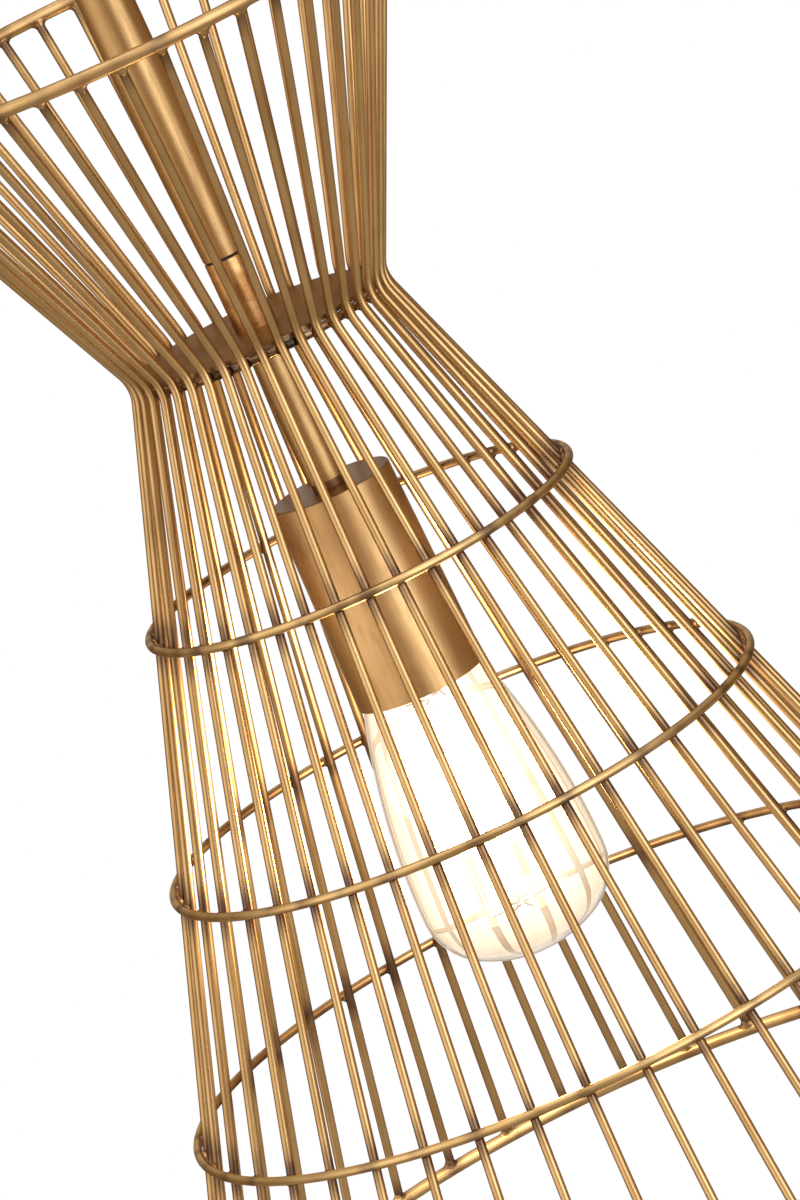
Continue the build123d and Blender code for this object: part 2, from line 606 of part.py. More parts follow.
def bulb_outline(inset, top_z):
    """Half section of the bulb, drawn inwards by inset: neck, long swelling side and round crown."""
    neck_radius = CAP_DIAMETER / 2 - CAP_WALL - inset
    widest = Vector(BULB_DIAMETER / 2 - inset, RIM_Z - BULB_WIDEST_BELOW_RIM)
    shoulder = BULB_SHOULDER_RADIUS - inset
    drop = widest.Y - BULB_TIP_Z - inset
    crown = ((widest.X - shoulder) ** 2 + drop**2 - shoulder**2) / (2 * (drop - shoulder))
    turn = math.degrees(math.atan2(drop - crown, widest.X - shoulder))
    with BuildSketch() as section:
        with BuildLine():
            CenterArc((widest.X - shoulder, widest.Y), shoulder, 0, turn)
            CenterArc((0, BULB_TIP_Z + inset + crown), crown, turn, -90 - turn)
            Polyline(
                (0, BULB_TIP_Z + inset),
                (0, top_z),
                (neck_radius, top_z),
                (neck_radius, CAP_MOUTH_Z),
                (BULB_NECK_RADIUS - inset, CAP_MOUTH_Z - NECK_STEP),
            )
            TangentArc(widest, (BULB_NECK_RADIUS - inset, CAP_MOUTH_Z - NECK_STEP), tangent=(0, 1))
        make_face()
    return section.sketch


# Glass: blown in one piece, open at the neck where the inner glass is sealed in
with BuildPart() as bulb_glass:
    with BuildSketch(Plane.XZ):
        add(bulb_outline(0, NECK_TOP_Z))
    revolve(axis=Axis.Z)
    with BuildSketch(Plane.XZ):
        add(bulb_outline(GLASS_WALL, NECK_TOP_Z + GLASS_WALL))
    revolve(axis=Axis.Z, mode=Mode.SUBTRACT)
save(bulb_glass, "bulb_glass")

# Inner glass: a flare sealed into the neck, a solid press, and a rod down to the lower supports
flare_radius = CAP_DIAMETER / 2 - CAP_WALL - GLASS_WALL
press_radius = STEM_GLASS_DIAMETER
press_z = RIM_Z + STRAND_DIAMETER
rod_radius = STEM_GLASS_DIAMETER / 2
rod_end_z = BULB_TIP_Z + STEM_GLASS_TO_TIP
with BuildPart() as glass_stem:
    with BuildSketch(Plane.XZ):
        with BuildLine():
            Polyline(
                (0, CAP_MOUTH_Z),
                (press_radius - GLASS_WALL, CAP_MOUTH_Z),
                (flare_radius - GLASS_WALL, NECK_TOP_Z),
                (flare_radius, NECK_TOP_Z),
                (press_radius, CAP_MOUTH_Z - GLASS_WALL),
                (press_radius, press_z),
                (rod_radius, press_z),
                (rod_radius, rod_end_z + rod_radius),
            )
            TangentArc((rod_radius, rod_end_z + rod_radius), (0, rod_end_z), tangent=(0, -1))
            Line((0, rod_end_z), (0, CAP_MOUTH_Z))
        make_face()
    revolve(axis=Axis.Z)
save(glass_stem, "bulb_glass_stem")

# Filament: straight strands zigzag between an upper and a lower circle of hooks
upper_z = RIM_Z - STRAND_TOP_BELOW_RIM
lower_z = rod_end_z + 2 * rod_radius
hook_pitch = 360 / (STRANDS / 2 + 1)


def hook(radius, steps, height):
    """A point on a circle of hooks, so many steps round it."""
    angle = math.radians(steps * hook_pitch)
    return (radius * math.cos(angle), radius * math.sin(angle), height)


upper_hooks = [hook(STRAND_UPPER_RADIUS, step, upper_z) for step in range(STRANDS // 2 + 1)]
lower_hooks = [hook(STRAND_LOWER_RADIUS, step + 0.5, lower_z) for step in range(STRANDS // 2)]
zigzag = [upper_hooks[0]]
for lower, upper in zip(lower_hooks, upper_hooks[1:]):
    zigzag += [lower, upper]

# Supports reach out from the rod to each hook; the first and last carry the current from the press
support_runs = [((0, 0, z), (x, y, z)) for x, y, z in upper_hooks[1:-1] + lower_hooks]
lead_runs = [((x / 4, y / 4, press_z), (x, y, z)) for x, y, z in (upper_hooks[0], upper_hooks[-1])]
with BuildPart() as supports:
    add(straight_wires(SUPPORT_DIAMETER, support_runs + lead_runs).part)
    add(glass_stem.part, mode=Mode.SUBTRACT)
save(supports, "bulb_supports")
with BuildPart() as filament:
    add(straight_wires(STRAND_DIAMETER, list(zip(zigzag, zigzag[1:]))).part)
    add(supports.part, mode=Mode.SUBTRACT)
save(filament, "bulb_filament")
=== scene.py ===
# %% [markdown]
# # A mini pendant lamp: an hourglass cage of brass wire round a tall bulb
#
# The lamp is a cage of forty-two bent brass wires, welded to rings and hoops.
# It hangs on a jointed rod from a round canopy, with a deep cup and a lit bulb inside.
# The packed CAD model gives every piece its exact place, so no piece is placed by eye.
# This file adds what a solid model leaves out: welds, rolled threads, the bowed filament,
# and above all the finishes and the light.

# %% The packed lamp and the box it fills
import math

import bpy
import numpy as np
from mathutils import Matrix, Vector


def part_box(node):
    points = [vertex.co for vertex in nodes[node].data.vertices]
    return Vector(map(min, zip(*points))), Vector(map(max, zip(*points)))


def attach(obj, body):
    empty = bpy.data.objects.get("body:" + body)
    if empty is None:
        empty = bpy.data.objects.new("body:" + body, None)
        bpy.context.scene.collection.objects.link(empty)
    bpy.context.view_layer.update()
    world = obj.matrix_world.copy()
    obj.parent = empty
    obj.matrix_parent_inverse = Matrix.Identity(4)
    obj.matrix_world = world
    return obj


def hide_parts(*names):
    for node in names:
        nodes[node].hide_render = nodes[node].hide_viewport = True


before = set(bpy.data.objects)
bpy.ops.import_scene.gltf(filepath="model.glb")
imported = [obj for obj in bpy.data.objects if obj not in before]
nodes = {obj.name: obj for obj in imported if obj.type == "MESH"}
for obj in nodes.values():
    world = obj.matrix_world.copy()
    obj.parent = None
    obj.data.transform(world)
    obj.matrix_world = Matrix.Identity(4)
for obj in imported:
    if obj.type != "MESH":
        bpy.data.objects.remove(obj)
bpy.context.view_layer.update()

# %% [markdown]
# ## Reading sizes from the packed lamp
#
# Each ring is a round rod bent into a circle, so its box tells both of its radii.
# Half the box's height is the rod, and its reach along X is the circle plus the rod.
# Reading the sizes keeps welds and heat marks in step with the metal, whatever changes in it.

# %% Rings and hoops as circle radius, rod radius and height


def ring_size(node):
    """Circle radius = reach - rod radius; rod radius = half the height; height = the middle."""
    low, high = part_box(node)
    rod = (high.z - low.z) / 2
    return high.x - rod, rod, (high.z + low.z) / 2


TOP_RING, BOTTOM_RING = ring_size("top_ring"), ring_size("bottom_ring")
WAIST_RING = ring_size("waist_ring")
HOOPS = [ring_size(name) for name in ("upper_hoop", "middle_hoop", "lower_hoop")]
# The wires: how many, how thick, and the circle on which their middles bend at the waist.
WIRES = 42
WIRE_RADIUS = 0.0015
WAIST_RADIUS = 0.0433
WAIST_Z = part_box("waist_disc")[0].z
print("top ring, bottom ring:", [round(v, 4) for v in TOP_RING + BOTTOM_RING])
print("waist at", round(WAIST_Z, 4), "hoops at", [round(h[2], 4) for h in HOOPS])

# %% [markdown]
# ## The camera
#
# The lamp was photographed from about 2.7 metres away with a long lens, a little from above.
# The camera was rolled by about a quarter of a right angle, so the lamp leans across the frame.
# A camera can be turned by hand until the edges match, but here its turns are written one by one:
# round the lamp, out and up, tilted down, and rolled about its own line of sight.

# %% Where the camera stands and how it is turned
CAMERA_TURN = math.radians(-1.56)
CAMERA_DISTANCE = 2.6423
CAMERA_ABOVE_WAIST = 0.4523
CAMERA_YAW = -0.00185
CAMERA_TILT = 0.20586
CAMERA_ROLL = -0.43365
LENS = 252.05
camera_data = bpy.data.cameras.new("camera")
camera_data.sensor_fit = "AUTO"
camera_data.sensor_width = 36
camera_data.lens = LENS
camera_data.clip_start = 0.05
camera_data.clip_end = 60
camera = bpy.data.objects.new("camera", camera_data)
bpy.context.scene.collection.objects.link(camera)
camera.matrix_world = (
    Matrix.Rotation(CAMERA_TURN, 4, "Z")
    @ Matrix.Translation((0, -CAMERA_DISTANCE, WAIST_Z + CAMERA_ABOVE_WAIST))
    @ Matrix.Rotation(CAMERA_YAW, 4, "Z")
    @ Matrix.Rotation(math.pi / 2 - CAMERA_TILT, 4, "X")
    @ Matrix.Rotation(CAMERA_ROLL, 4, "Z")
)
bpy.context.scene.camera = camera
print("camera at", [round(v, 3) for v in camera.matrix_world.translation])

# %% [markdown]
# ## Node helpers
#
# A finish is a small network of nodes, and writing one link at a time hides its idea.
# These few helpers make one node per call and return its output.
# A finish below then reads almost like the sentence that describes it.

# %% Small helpers that add nodes to one finish


class Finish:
    """One material under construction. Most calls add a node and return its output."""

    def __init__(self, name):
        self.material = bpy.data.materials.new(name)
        self.material.use_nodes = True
        self.tree = self.material.node_tree
        self.tree.nodes.clear()
        self.place = self.node("ShaderNodeTexCoord").outputs["Object"]

    def node(self, kind, *values, **settings):
        """A new node with its settings, and with values for its inputs in their order."""
        made = self.tree.nodes.new(kind)
        for key, value in settings.items():
            setattr(made, key, value)
        for socket, value in zip(made.inputs, values):
            self.put(socket, value)
        return made

    def put(self, socket, value):
        """Link an output to the socket, or set the socket's own value."""
        if isinstance(value, bpy.types.NodeSocket):
            self.tree.links.new(value, socket)
        else:
            socket.default_value = value

    def math(self, operation, *values):
        """One Math node."""
        return self.node("ShaderNodeMath", *values, operation=operation).outputs[0]

    def vector(self, operation, *values):
        """One Vector Math node."""
        return self.node("ShaderNodeVectorMath", *values, operation=operation).outputs

    def scaled(self, x, y, z):
        """The piece's coordinates stretched by three factors, so that a pattern runs one way."""
        made = self.node("ShaderNodeMapping", self.place)
        self.put(made.inputs["Scale"], (x, y, z))
        return made.outputs[0]

    def axes(self):
        """X, Y and Z of the piece's coordinates."""
        return self.node("ShaderNodeSeparateXYZ", self.place).outputs

    def polar(self):
        """Distance from the lamp's axis, angle round it, and height."""
        x, y, height = self.axes()
        flat = self.vector("MULTIPLY", self.place, (1, 1, 0))[0]
        radius = self.vector("LENGTH", flat)["Value"]
        return radius, self.math("ARCTAN2", y, x), height

    def times(self, first, second):
        """The product of two values."""
        return self.math("MULTIPLY", first, second)

    def minus(self, first, second):
        """The first value less the second."""
        return self.math("SUBTRACT", first, second)

    def larger(self, first, second):
        """The larger of two values."""
        return self.math("MAXIMUM", first, second)

    def gap(self, first, second):
        """How far two values lie apart."""
        return self.math("ABSOLUTE", self.minus(first, second))

    def noise(self, scale, detail=2.0, vector=None, roughness=0.5):
        """Smooth noise from 0 to 1, with its scale in waves per metre."""
        made = self.node("ShaderNodeTexNoise", self.place if vector is None else vector)
        self.put(made.inputs["Scale"], scale)
        self.put(made.inputs["Detail"], detail)
        self.put(made.inputs["Roughness"], roughness)
        return made.outputs[0]

    def ramp(self, value, low, high, start=0.0, end=1.0):
        """A value between low and high, eased and laid out from start to end."""
        limits = (low, high, start, end)
        made = self.node("ShaderNodeMapRange", value, *limits, interpolation_type="SMOOTHSTEP")
        return made.outputs[0]

    def patches(self, scale, low, high, least, most):
        """A strength from least to most, uneven in soft patches."""
        return self.ramp(self.noise(scale), low, high, least, most)

    def blend(self, amount, first, second):
        """Two colours mixed by an amount from 0 to 1."""
        made = self.node("ShaderNodeMix", amount, data_type="RGBA")
        for socket, colour in zip(made.inputs[6:8], (first, second)):
            self.put(socket, colour if isinstance(colour, bpy.types.NodeSocket) else (*colour, 1))
        return made.outputs[2]

    def vector_times(self, amount, vector):
        """A vector, or a light's tint, times an amount."""
        made = self.node("ShaderNodeVectorMath", vector, operation="SCALE")
        self.put(made.inputs["Scale"], amount)
        return made.outputs[0]

    def bump(self, height, depth):
        """A relief as deep as depth metres where the height runs from 0 to 1."""
        made = self.node("ShaderNodeBump")
        self.put(made.inputs["Height"], height)
        self.put(made.inputs["Distance"], depth)
        return made.outputs[0]

    def surface(self, **inputs):
        """The finished surface: one Principled shader with these inputs."""
        shader = self.node("ShaderNodeBsdfPrincipled")
        self.node("ShaderNodeOutputMaterial", shader.outputs[0])
        for key, value in inputs.items():
            name = key.replace("_", " ").title().replace("Ior", "IOR")
            if isinstance(value, tuple) and len(value) == 3:
                value = (*value, 1)
            self.put(shader.inputs[name], value)
        return self.material


CAD_FINISHES = len(bpy.data.materials)
print("helpers:", [name for name in vars(Finish) if not name.startswith("_")])

# %% [markdown]
# ## The brass finishes
#
# The real metal is plated or solid brass, rubbed with a fine pad and lacquered while it ages.
# It shows soft clouds of brown, a grain along the drawn wire, pinholes,
# and at every weld a purple-brown bloom where the heat reached the metal.
# A flat gold would be quicker, but on thin wires these marks are most of what the eye sees.
# They could be painted by hand on an unrolled image of each wire.
# Here the distance to the nearest weld is worked out instead, which stays sharp at any size.

# %% Heat marks along a wire and round a ring
RUBBED = (0.80, 0.535, 0.25)
AGED = (0.48, 0.275, 0.105)
SCORCHED = (0.16, 0.085, 0.062)
# Nearly black: soot in the pinholes, and soot with painted shade under the disc at the waist.
SOOT_AND_SHADE = (0.045, 0.028, 0.02)
# Painted shade: a dark edge tint that darkens every brass rod towards its rims.
PAINTED_RIM_SHADE = (0.36, 0.27, 0.19)
# The bloom is full up to its start and gone at its end, in metres from the weld.
BLOOM_START, BLOOM_END = 0.002, 0.0125
RING_BLOOM_START, RING_BLOOM_END = 0.001, 0.006
BLOOM_STRENGTH = 0.92
WELD_HEIGHTS = [TOP_RING[2], BOTTOM_RING[2]] + [hoop[2] for hoop in HOOPS]


def bloom_along_wire(finish):
    """Strongest at the height of a weld, easing to 0 about a centimetre above and below it."""
    height = finish.axes()[2]
    bloom = 0.0
    for weld_z in WELD_HEIGHTS:
        near = finish.ramp(finish.gap(height, weld_z), BLOOM_END, BLOOM_START)
        bloom = finish.larger(near, bloom)
    return finish.times(bloom, finish.patches(95, 0.3, 0.62, 0.55, 1.0))


def bloom_round_ring(finish):
    """Strongest at each wire, easing to 0 along the ring. The angle is counted in wires: what it
    lacks of the nearest whole number, times the angle between wires and the radius, is the arc."""
    radius, angle, _ = finish.polar()
    steps = finish.times(angle, WIRES / math.tau)
    away = finish.gap(steps, finish.math("ROUND", steps))
    arc = finish.times(finish.times(away, math.tau / WIRES), radius)
    bloom = finish.ramp(arc, RING_BLOOM_END, RING_BLOOM_START)
    return finish.times(bloom, finish.patches(70, 0.38, 0.66, 0.1, 0.8))


print("welds at heights:", [round(weld_z, 4) for weld_z in WELD_HEIGHTS])

# %% [markdown]
# ## Grain that follows a bent rod
#
# Drawn wire carries fine streaks along its length, also where the wire leans or bends.
# A pattern on plain coordinates would cross a leaning wire and look hammered.
# So the finish works out where a point sits within its own rod's section,
# which stays the same along one streak, and reads the noise there.

# %% Coordinates within the section of a wire, a ring or a hoop
UPPER_SLOPE = (TOP_RING[0] - WAIST_RADIUS) / (TOP_RING[2] - WAIST_Z)
LOWER_SLOPE = (BOTTOM_RING[0] - WAIST_RADIUS) / (WAIST_Z - BOTTOM_RING[2])
CUP_TOP_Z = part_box("socket_cup")[1].z
# A hoop's rod lies this far outside the middle line of the wires.
HOOP_OFFSET = HOOPS[0][0] - WAIST_RADIUS - LOWER_SLOPE * (WAIST_Z - HOOPS[0][2])
STREAKS_ACROSS, STREAKS_ALONG = 1000, 36
# The soot and painted shade under the disc is full within the first distance from the waist ring and
# gone at the second.
SOOT_SHADE_START, SOOT_SHADE_END = 0.002, 0.0075
# How far outside the rod's middle line a dark side begins, and where it is complete.
SOOT_SHADE_SIDE, HOOP_SIDE = (0.0006, -0.0009), (0.0004, -0.0009)


def section_place(finish, across, beside, along):
    """Two lengths within the section and one along the rod, scaled for long streaks."""
    lengthwise = finish.times(along, STREAKS_ALONG / STREAKS_ACROSS)
    joined = finish.node("ShaderNodeCombineXYZ", across, beside, lengthwise).outputs[0]
    return finish.vector_times(STREAKS_ACROSS, joined)


def along_wire(finish):
    """Outwards from the wire's middle line: radius less that line's radius at the same height.
    Sideways: the angle from the nearest wire times the radius. Each wire starts elsewhere."""
    radius, angle, height = finish.polar()
    above = finish.times(finish.minus(height, WAIST_Z), UPPER_SLOPE)
    below = finish.times(finish.minus(WAIST_Z, height), LOWER_SLOPE)
    middle = finish.math("ADD", finish.larger(above, below), WAIST_RADIUS)
    steps = finish.times(angle, WIRES / math.tau)
    nearest = finish.math("ROUND", steps)
    sideways = finish.times(finish.minus(steps, nearest), radius)
    sideways = finish.times(sideways, math.tau / WIRES)
    start = finish.math("ADD", height, nearest)
    return section_place(finish, finish.minus(radius, middle), sideways, start)


def soot_and_shade_inside_bend(finish):
    """Soot and painted shade under the disc: dark on the inner side of a wire, within a few millimetres
    of the waist ring.
    """
    radius, _, height = finish.polar()
    inside = finish.ramp(finish.minus(radius, WAIST_RADIUS), *SOOT_SHADE_SIDE)
    near = finish.ramp(finish.gap(height, WAIST_RING[2]), SOOT_SHADE_END, SOOT_SHADE_START)
    soot_and_shade = finish.times(inside, near)
    return finish.times(soot_and_shade, finish.patches(160, 0.3, 0.6, 0.35, 0.95))


def painted_shade_top(finish):
    """Painted shade: dark on the flat top of the cup and 0 on its side."""
    return finish.ramp(finish.axes()[2], CUP_TOP_Z - 0.0008, CUP_TOP_Z - 0.0001, 0, 0.7)


def unrubbed_inside(finish):
    """Dark on the side of a hoop that faces the axis, where the rubbing pad never reached."""
    radius, _, height = finish.polar()
    wires = finish.times(finish.minus(WAIST_Z, height), LOWER_SLOPE)
    beyond = finish.minus(finish.minus(radius, wires), WAIST_RADIUS + HOOP_OFFSET)
    inside = finish.ramp(beyond, *HOOP_SIDE, 0, 0.85)
    return finish.times(inside, finish.patches(60, 0.3, 0.65, 0.5, 1.0))


def along_ring(finish):
    """Outwards, upwards, and the arc from one side of the ring."""
    radius, angle, height = finish.polar()
    return section_place(finish, radius, height, finish.times(angle, 0.1))


print("wires lean out by", [round(math.degrees(math.atan(s)), 1) for s in (UPPER_SLOPE, LOWER_SLOPE)])

# %% [markdown]
# ## One brass with many moods
#
# Stem, cup, wires and welds are one metal, but each was rubbed, heated and handled differently, and the
# disc, the cup's top and the waist ring are also painted darker as shade.
# Twelve separate networks would drift apart, so one function makes every brass,
# with the differences as its arguments.
# Clouds of brown come first, then streaks, then the heat, and pinholes last, as on the real metal.
# The edge tint of the metal is set far below its face, so every rod darkens towards its rims: painted
# shade.

# %% The brasses
RELIEF_DEPTH = 0.000008
LACQUER_ROUGHNESS = 0.34
PITS_PER_METRE = 260


def brass(name, face=RUBBED, aged=AGED, age=0.45, rough=0.36, grain=None, bloom=None, pits=0.6, cloud=42,
          dark_side=None, coat=0.3, coat_ior=1.5):
    """Rubbed brass, clouded towards its aged colour, scorched where bloom says, with grain and pits.
    The dark side is a pair: a function that finds it, and its colour."""
    finish = Finish(name)
    clouds = finish.ramp(finish.noise(cloud, 3), 0.36, 0.68)
    colour = finish.blend(finish.times(clouds, age), face, aged)
    grain = (900, 900, 900) if grain is None else grain
    streaks = finish.noise(1, 2, grain(finish) if callable(grain) else finish.scaled(*grain))
    colour = finish.blend(finish.ramp(streaks, 0.45, 0.75, 0, 0.35), colour, aged)
    if bloom is not None:
        heat = finish.times(bloom(finish), BLOOM_STRENGTH)
        colour = finish.blend(heat, colour, SCORCHED)
    if dark_side is not None:
        where, dark = dark_side
        colour = finish.blend(where(finish), colour, dark)
    cells = finish.node("ShaderNodeTexVoronoi", finish.place)
    finish.put(cells.inputs["Scale"], PITS_PER_METRE)
    chosen = finish.ramp(finish.noise(60, 1), 0.52, 0.62)
    pit = finish.times(finish.ramp(cells.outputs["Distance"], 0.085, 0.03), chosen)
    colour = finish.blend(finish.times(pit, pits), colour, SOOT_AND_SHADE)
    relief = finish.minus(finish.times(streaks, 0.25), pit)
    return finish.surface(
        base_color=colour,
        metallic=1.0,
        roughness=finish.ramp(streaks, 0.3, 0.7, rough - 0.04, rough + 0.06),
        # The low edge tint paints shade at the rims.
        specular_tint=PAINTED_RIM_SHADE,
        coat_weight=coat,
        coat_ior=coat_ior,
        coat_roughness=LACQUER_ROUGHNESS,
        normal=finish.bump(relief, RELIEF_DEPTH),
    )


# The wires are darkened inside each bend under the disc: soot and painted shade.
wire_brass = brass("wire_brass", grain=along_wire, bloom=bloom_along_wire,
                   dark_side=(soot_and_shade_inside_bend, SOOT_AND_SHADE))
hoop_brass = brass("hoop_brass", face=(0.86, 0.59, 0.27), age=0.3, rough=0.34, grain=along_ring,
                   bloom=bloom_round_ring, dark_side=(unrubbed_inside, (0.20, 0.095, 0.05)))
ring_brass = brass("ring_brass", age=0.6, rough=0.38, grain=along_ring, bloom=bloom_round_ring, pits=0.9)
stem_brass = brass("stem_brass", face=(0.76, 0.50, 0.23), age=0.2, grain=(700, 700, 60), pits=0.2,
                   cloud=30)
cup_brass = brass("cup_brass", face=(0.96, 0.64, 0.31), aged=(0.66, 0.37, 0.13), grain=(600, 600, 90),
                  pits=0.1, cloud=24, coat=0.6, coat_ior=1.6,
                  # The cup's flat top is coloured darker: painted shade.
                  dark_side=(painted_shade_top, (0.27, 0.15, 0.07)))
cast_brass = brass("cast_brass", face=(0.96, 0.62, 0.28), aged=(0.46, 0.21, 0.07), age=0.85, rough=0.28,
                   grain=(320, 320, 320), pits=1.0, cloud=110)
canopy_brass = brass("canopy_brass", age=0.3, grain=(140, 140, 900), pits=0.2)
fitting_brass = brass("fitting_brass", age=0.5, rough=0.38)
# Painted shade: the disc and the cup spacer are coloured a dark brown brass, so that the disc's flat top
# looks dim.
disc_brass_painted_shade = brass("disc_brass_painted_shade", face=(0.44, 0.265, 0.12), aged=(0.29, 0.165, 0.085), age=0.9,
                   rough=0.42, coat=0.12)
weld_brass = brass("weld_brass", age=0.9, rough=0.38, bloom=bloom_round_ring, pits=1.0)
bead_brass = brass("bead_brass", face=(0.62, 0.36, 0.15), aged=SCORCHED, age=0.8, rough=0.33, pits=1.0,
                   cloud=160)
# Soot and painted shade: the waist ring and its welds under the disc are coloured nearly black.
soot_and_shade_brass = brass("soot_and_shade_brass", face=(0.34, 0.20, 0.10), aged=SOOT_AND_SHADE, age=1.0, rough=0.24, pits=1.0,
                   cloud=150)
print("brasses made:", len(bpy.data.materials) - CAD_FINISHES)

# %% [markdown]
# ## Steel, fibre and porcelain
#
# The pieces that grip and insulate are not brass.
# Nuts, nipples and the crossbar are zinc-plated steel, which is pale and faintly clouded.
# The dark joint line under the upper stem is a washer of vulcanised fibre.
# The lampholder is porcelain with a thin bright glaze.
# One network makes the plated metals and another the dull matter, for they catch light differently.

# %% Steel, fibre and porcelain


def plated_steel(name, colour, rough, tint=None):
    """Zinc over steel: a pale metal, clouded in grains a few millimetres across."""
    finish = Finish(name)
    grains = finish.node("ShaderNodeTexVoronoi", finish.place)
    finish.put(grains.inputs["Scale"], 330)
    dull = tuple(0.62 * v for v in colour) if tint is None else tint
    shade = finish.blend(finish.ramp(grains.outputs["Distance"], 0.1, 0.9, 0, 0.5), colour, dull)
    fine = finish.noise(1600, 2)
    return finish.surface(
        base_color=shade,
        metallic=1.0,
        roughness=finish.ramp(fine, 0.3, 0.7, rough - 0.05, rough + 0.08),
        normal=finish.bump(fine, 0.00002),
    )


def plain_matter(name, colour, second, rough, scale, relief, coat=0.0):
    """A dull material, mottled between two close colours, with a fine relief of its own."""
    finish = Finish(name)
    mottle = finish.noise(scale, 4, roughness=0.6)
    return finish.surface(
        base_color=finish.blend(finish.ramp(mottle, 0.35, 0.65), colour, second),
        roughness=finish.ramp(mottle, 0.3, 0.7, rough - 0.06, rough + 0.06),
        coat_weight=coat,
        coat_roughness=0.06,
        normal=finish.bump(mottle, relief),
    )


zinc = plated_steel("zinc_steel", (0.62, 0.63, 0.64), 0.32)
green = plated_steel("green_steel", (0.05, 0.22, 0.08), 0.34, tint=(0.03, 0.13, 0.05))
nickel = plated_steel("nickel_wire", (0.55, 0.53, 0.50), 0.28)
spring = plated_steel("spring_brass", (0.80, 0.62, 0.30), 0.26, tint=(0.62, 0.44, 0.18))
bright_cap = plated_steel("cap_brass", (0.82, 0.64, 0.34), 0.27, tint=(0.60, 0.43, 0.20))
fibre = plain_matter("black_fibre", (0.022, 0.018, 0.014), (0.045, 0.034, 0.025), 0.7, 900, 0.00008)
porcelain = plain_matter("porcelain", (0.82, 0.80, 0.74), (0.76, 0.73, 0.66), 0.22, 260, 0.00003,
                         coat=0.6)
dark_bead = plain_matter("dark_bead", (0.03, 0.016, 0.016), (0.055, 0.03, 0.026), 0.16, 500, 0.00002,
                         coat=0.4)
print("finishes so far:", len(bpy.data.materials) - CAD_FINISHES)

# %% [markdown]
# ## Glass that glows
#
# A lit bulb is brighter than a photograph can hold, so its middle turns white.
# Part of that light is scattered by the glass itself, which is why wires behind it fade out.
# A compositor could add a halo afterwards, but then the lamp itself would not carry its glow.
# Here the glass gives off a little light of its own, most where the eye looks straight at it,
# and less towards its rim and its crown, where the amber wash shows instead.

# %% Amber glass, clear glass and the lit filament
BULB_LOW, BULB_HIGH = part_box("bulb_glass")
FILAMENT_LOW, FILAMENT_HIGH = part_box("bulb_filament")
GLOW = 0.33
GLOW_AT_RIM, GLOW_AT_CROWN = 0.5, 0.4
# The filament is cooler over this length at each hook.
COOL_LENGTH = 0.012
COOL_GLOW, HOT_GLOW = 7.0, 26.0


def glowing_glass(name, wash, glow):
    """Clear glass with a colour wash. Its haze fades towards the rim and towards the crown."""
    finish = Finish(name)
    facing = finish.node("ShaderNodeLayerWeight", 0.5)
    middle = finish.ramp(facing.outputs["Facing"], 0.46, 0.18, GLOW_AT_RIM, 1.0)
    crown_top = FILAMENT_LOW.z + 0.012
    crown = finish.ramp(finish.axes()[2], BULB_LOW.z + 0.004, crown_top, GLOW_AT_CROWN, 1.0)
    haze = finish.times(middle, crown)
    streaks = finish.noise(1, 1, finish.scaled(150, 150, 9))
    uneven = finish.ramp(streaks, 0.3, 0.7, 0.8, 1.1)
    strength = finish.times(finish.times(haze, uneven), glow)
    film = finish.noise(70, 2)
    return finish.surface(
        base_color=finish.blend(finish.ramp(film, 0.35, 0.65), wash, tuple(v * 0.99 for v in wash)),
        roughness=0.0,
        ior=1.45,
        transmission_weight=1.0,
        emission_color=(1.0, 0.90, 0.72),
        emission_strength=strength,
        normal=finish.bump(streaks, 0.00001),
    )


def lit_filament(name):
    """A wire white-hot in the middle of each run and cooler at the hooks that carry heat away."""
    finish = Finish(name)
    height = finish.axes()[2]
    near = [finish.gap(height, hook_z) for hook_z in (FILAMENT_LOW.z, FILAMENT_HIGH.z)]
    heat = finish.ramp(finish.math("MINIMUM", *near), 0.0, COOL_LENGTH, COOL_GLOW, HOT_GLOW)
    return finish.surface(
        base_color=(0.30, 0.28, 0.26),
        metallic=1.0,
        roughness=0.4,
        emission_color=(1.0, 0.66, 0.30),
        emission_strength=heat,
    )


amber_glass = glowing_glass("amber_glass", (0.975, 0.86, 0.735), GLOW)
clear_glass = glowing_glass("clear_glass", (0.97, 0.98, 0.98), 0.0)
filament_metal = lit_filament("filament")
print("glass from", round(BULB_LOW.z, 4), "to", round(BULB_HIGH.z, 4), "with glow", GLOW)

# %% [markdown]
# ## Giving each CAD piece its finish
#
# A CAD piece keeps its shape and gets a finish in its own material slot.
# A list of pairs is easier to check than assignments spread through the file:
# each line names a finish and the pieces that are made of it.

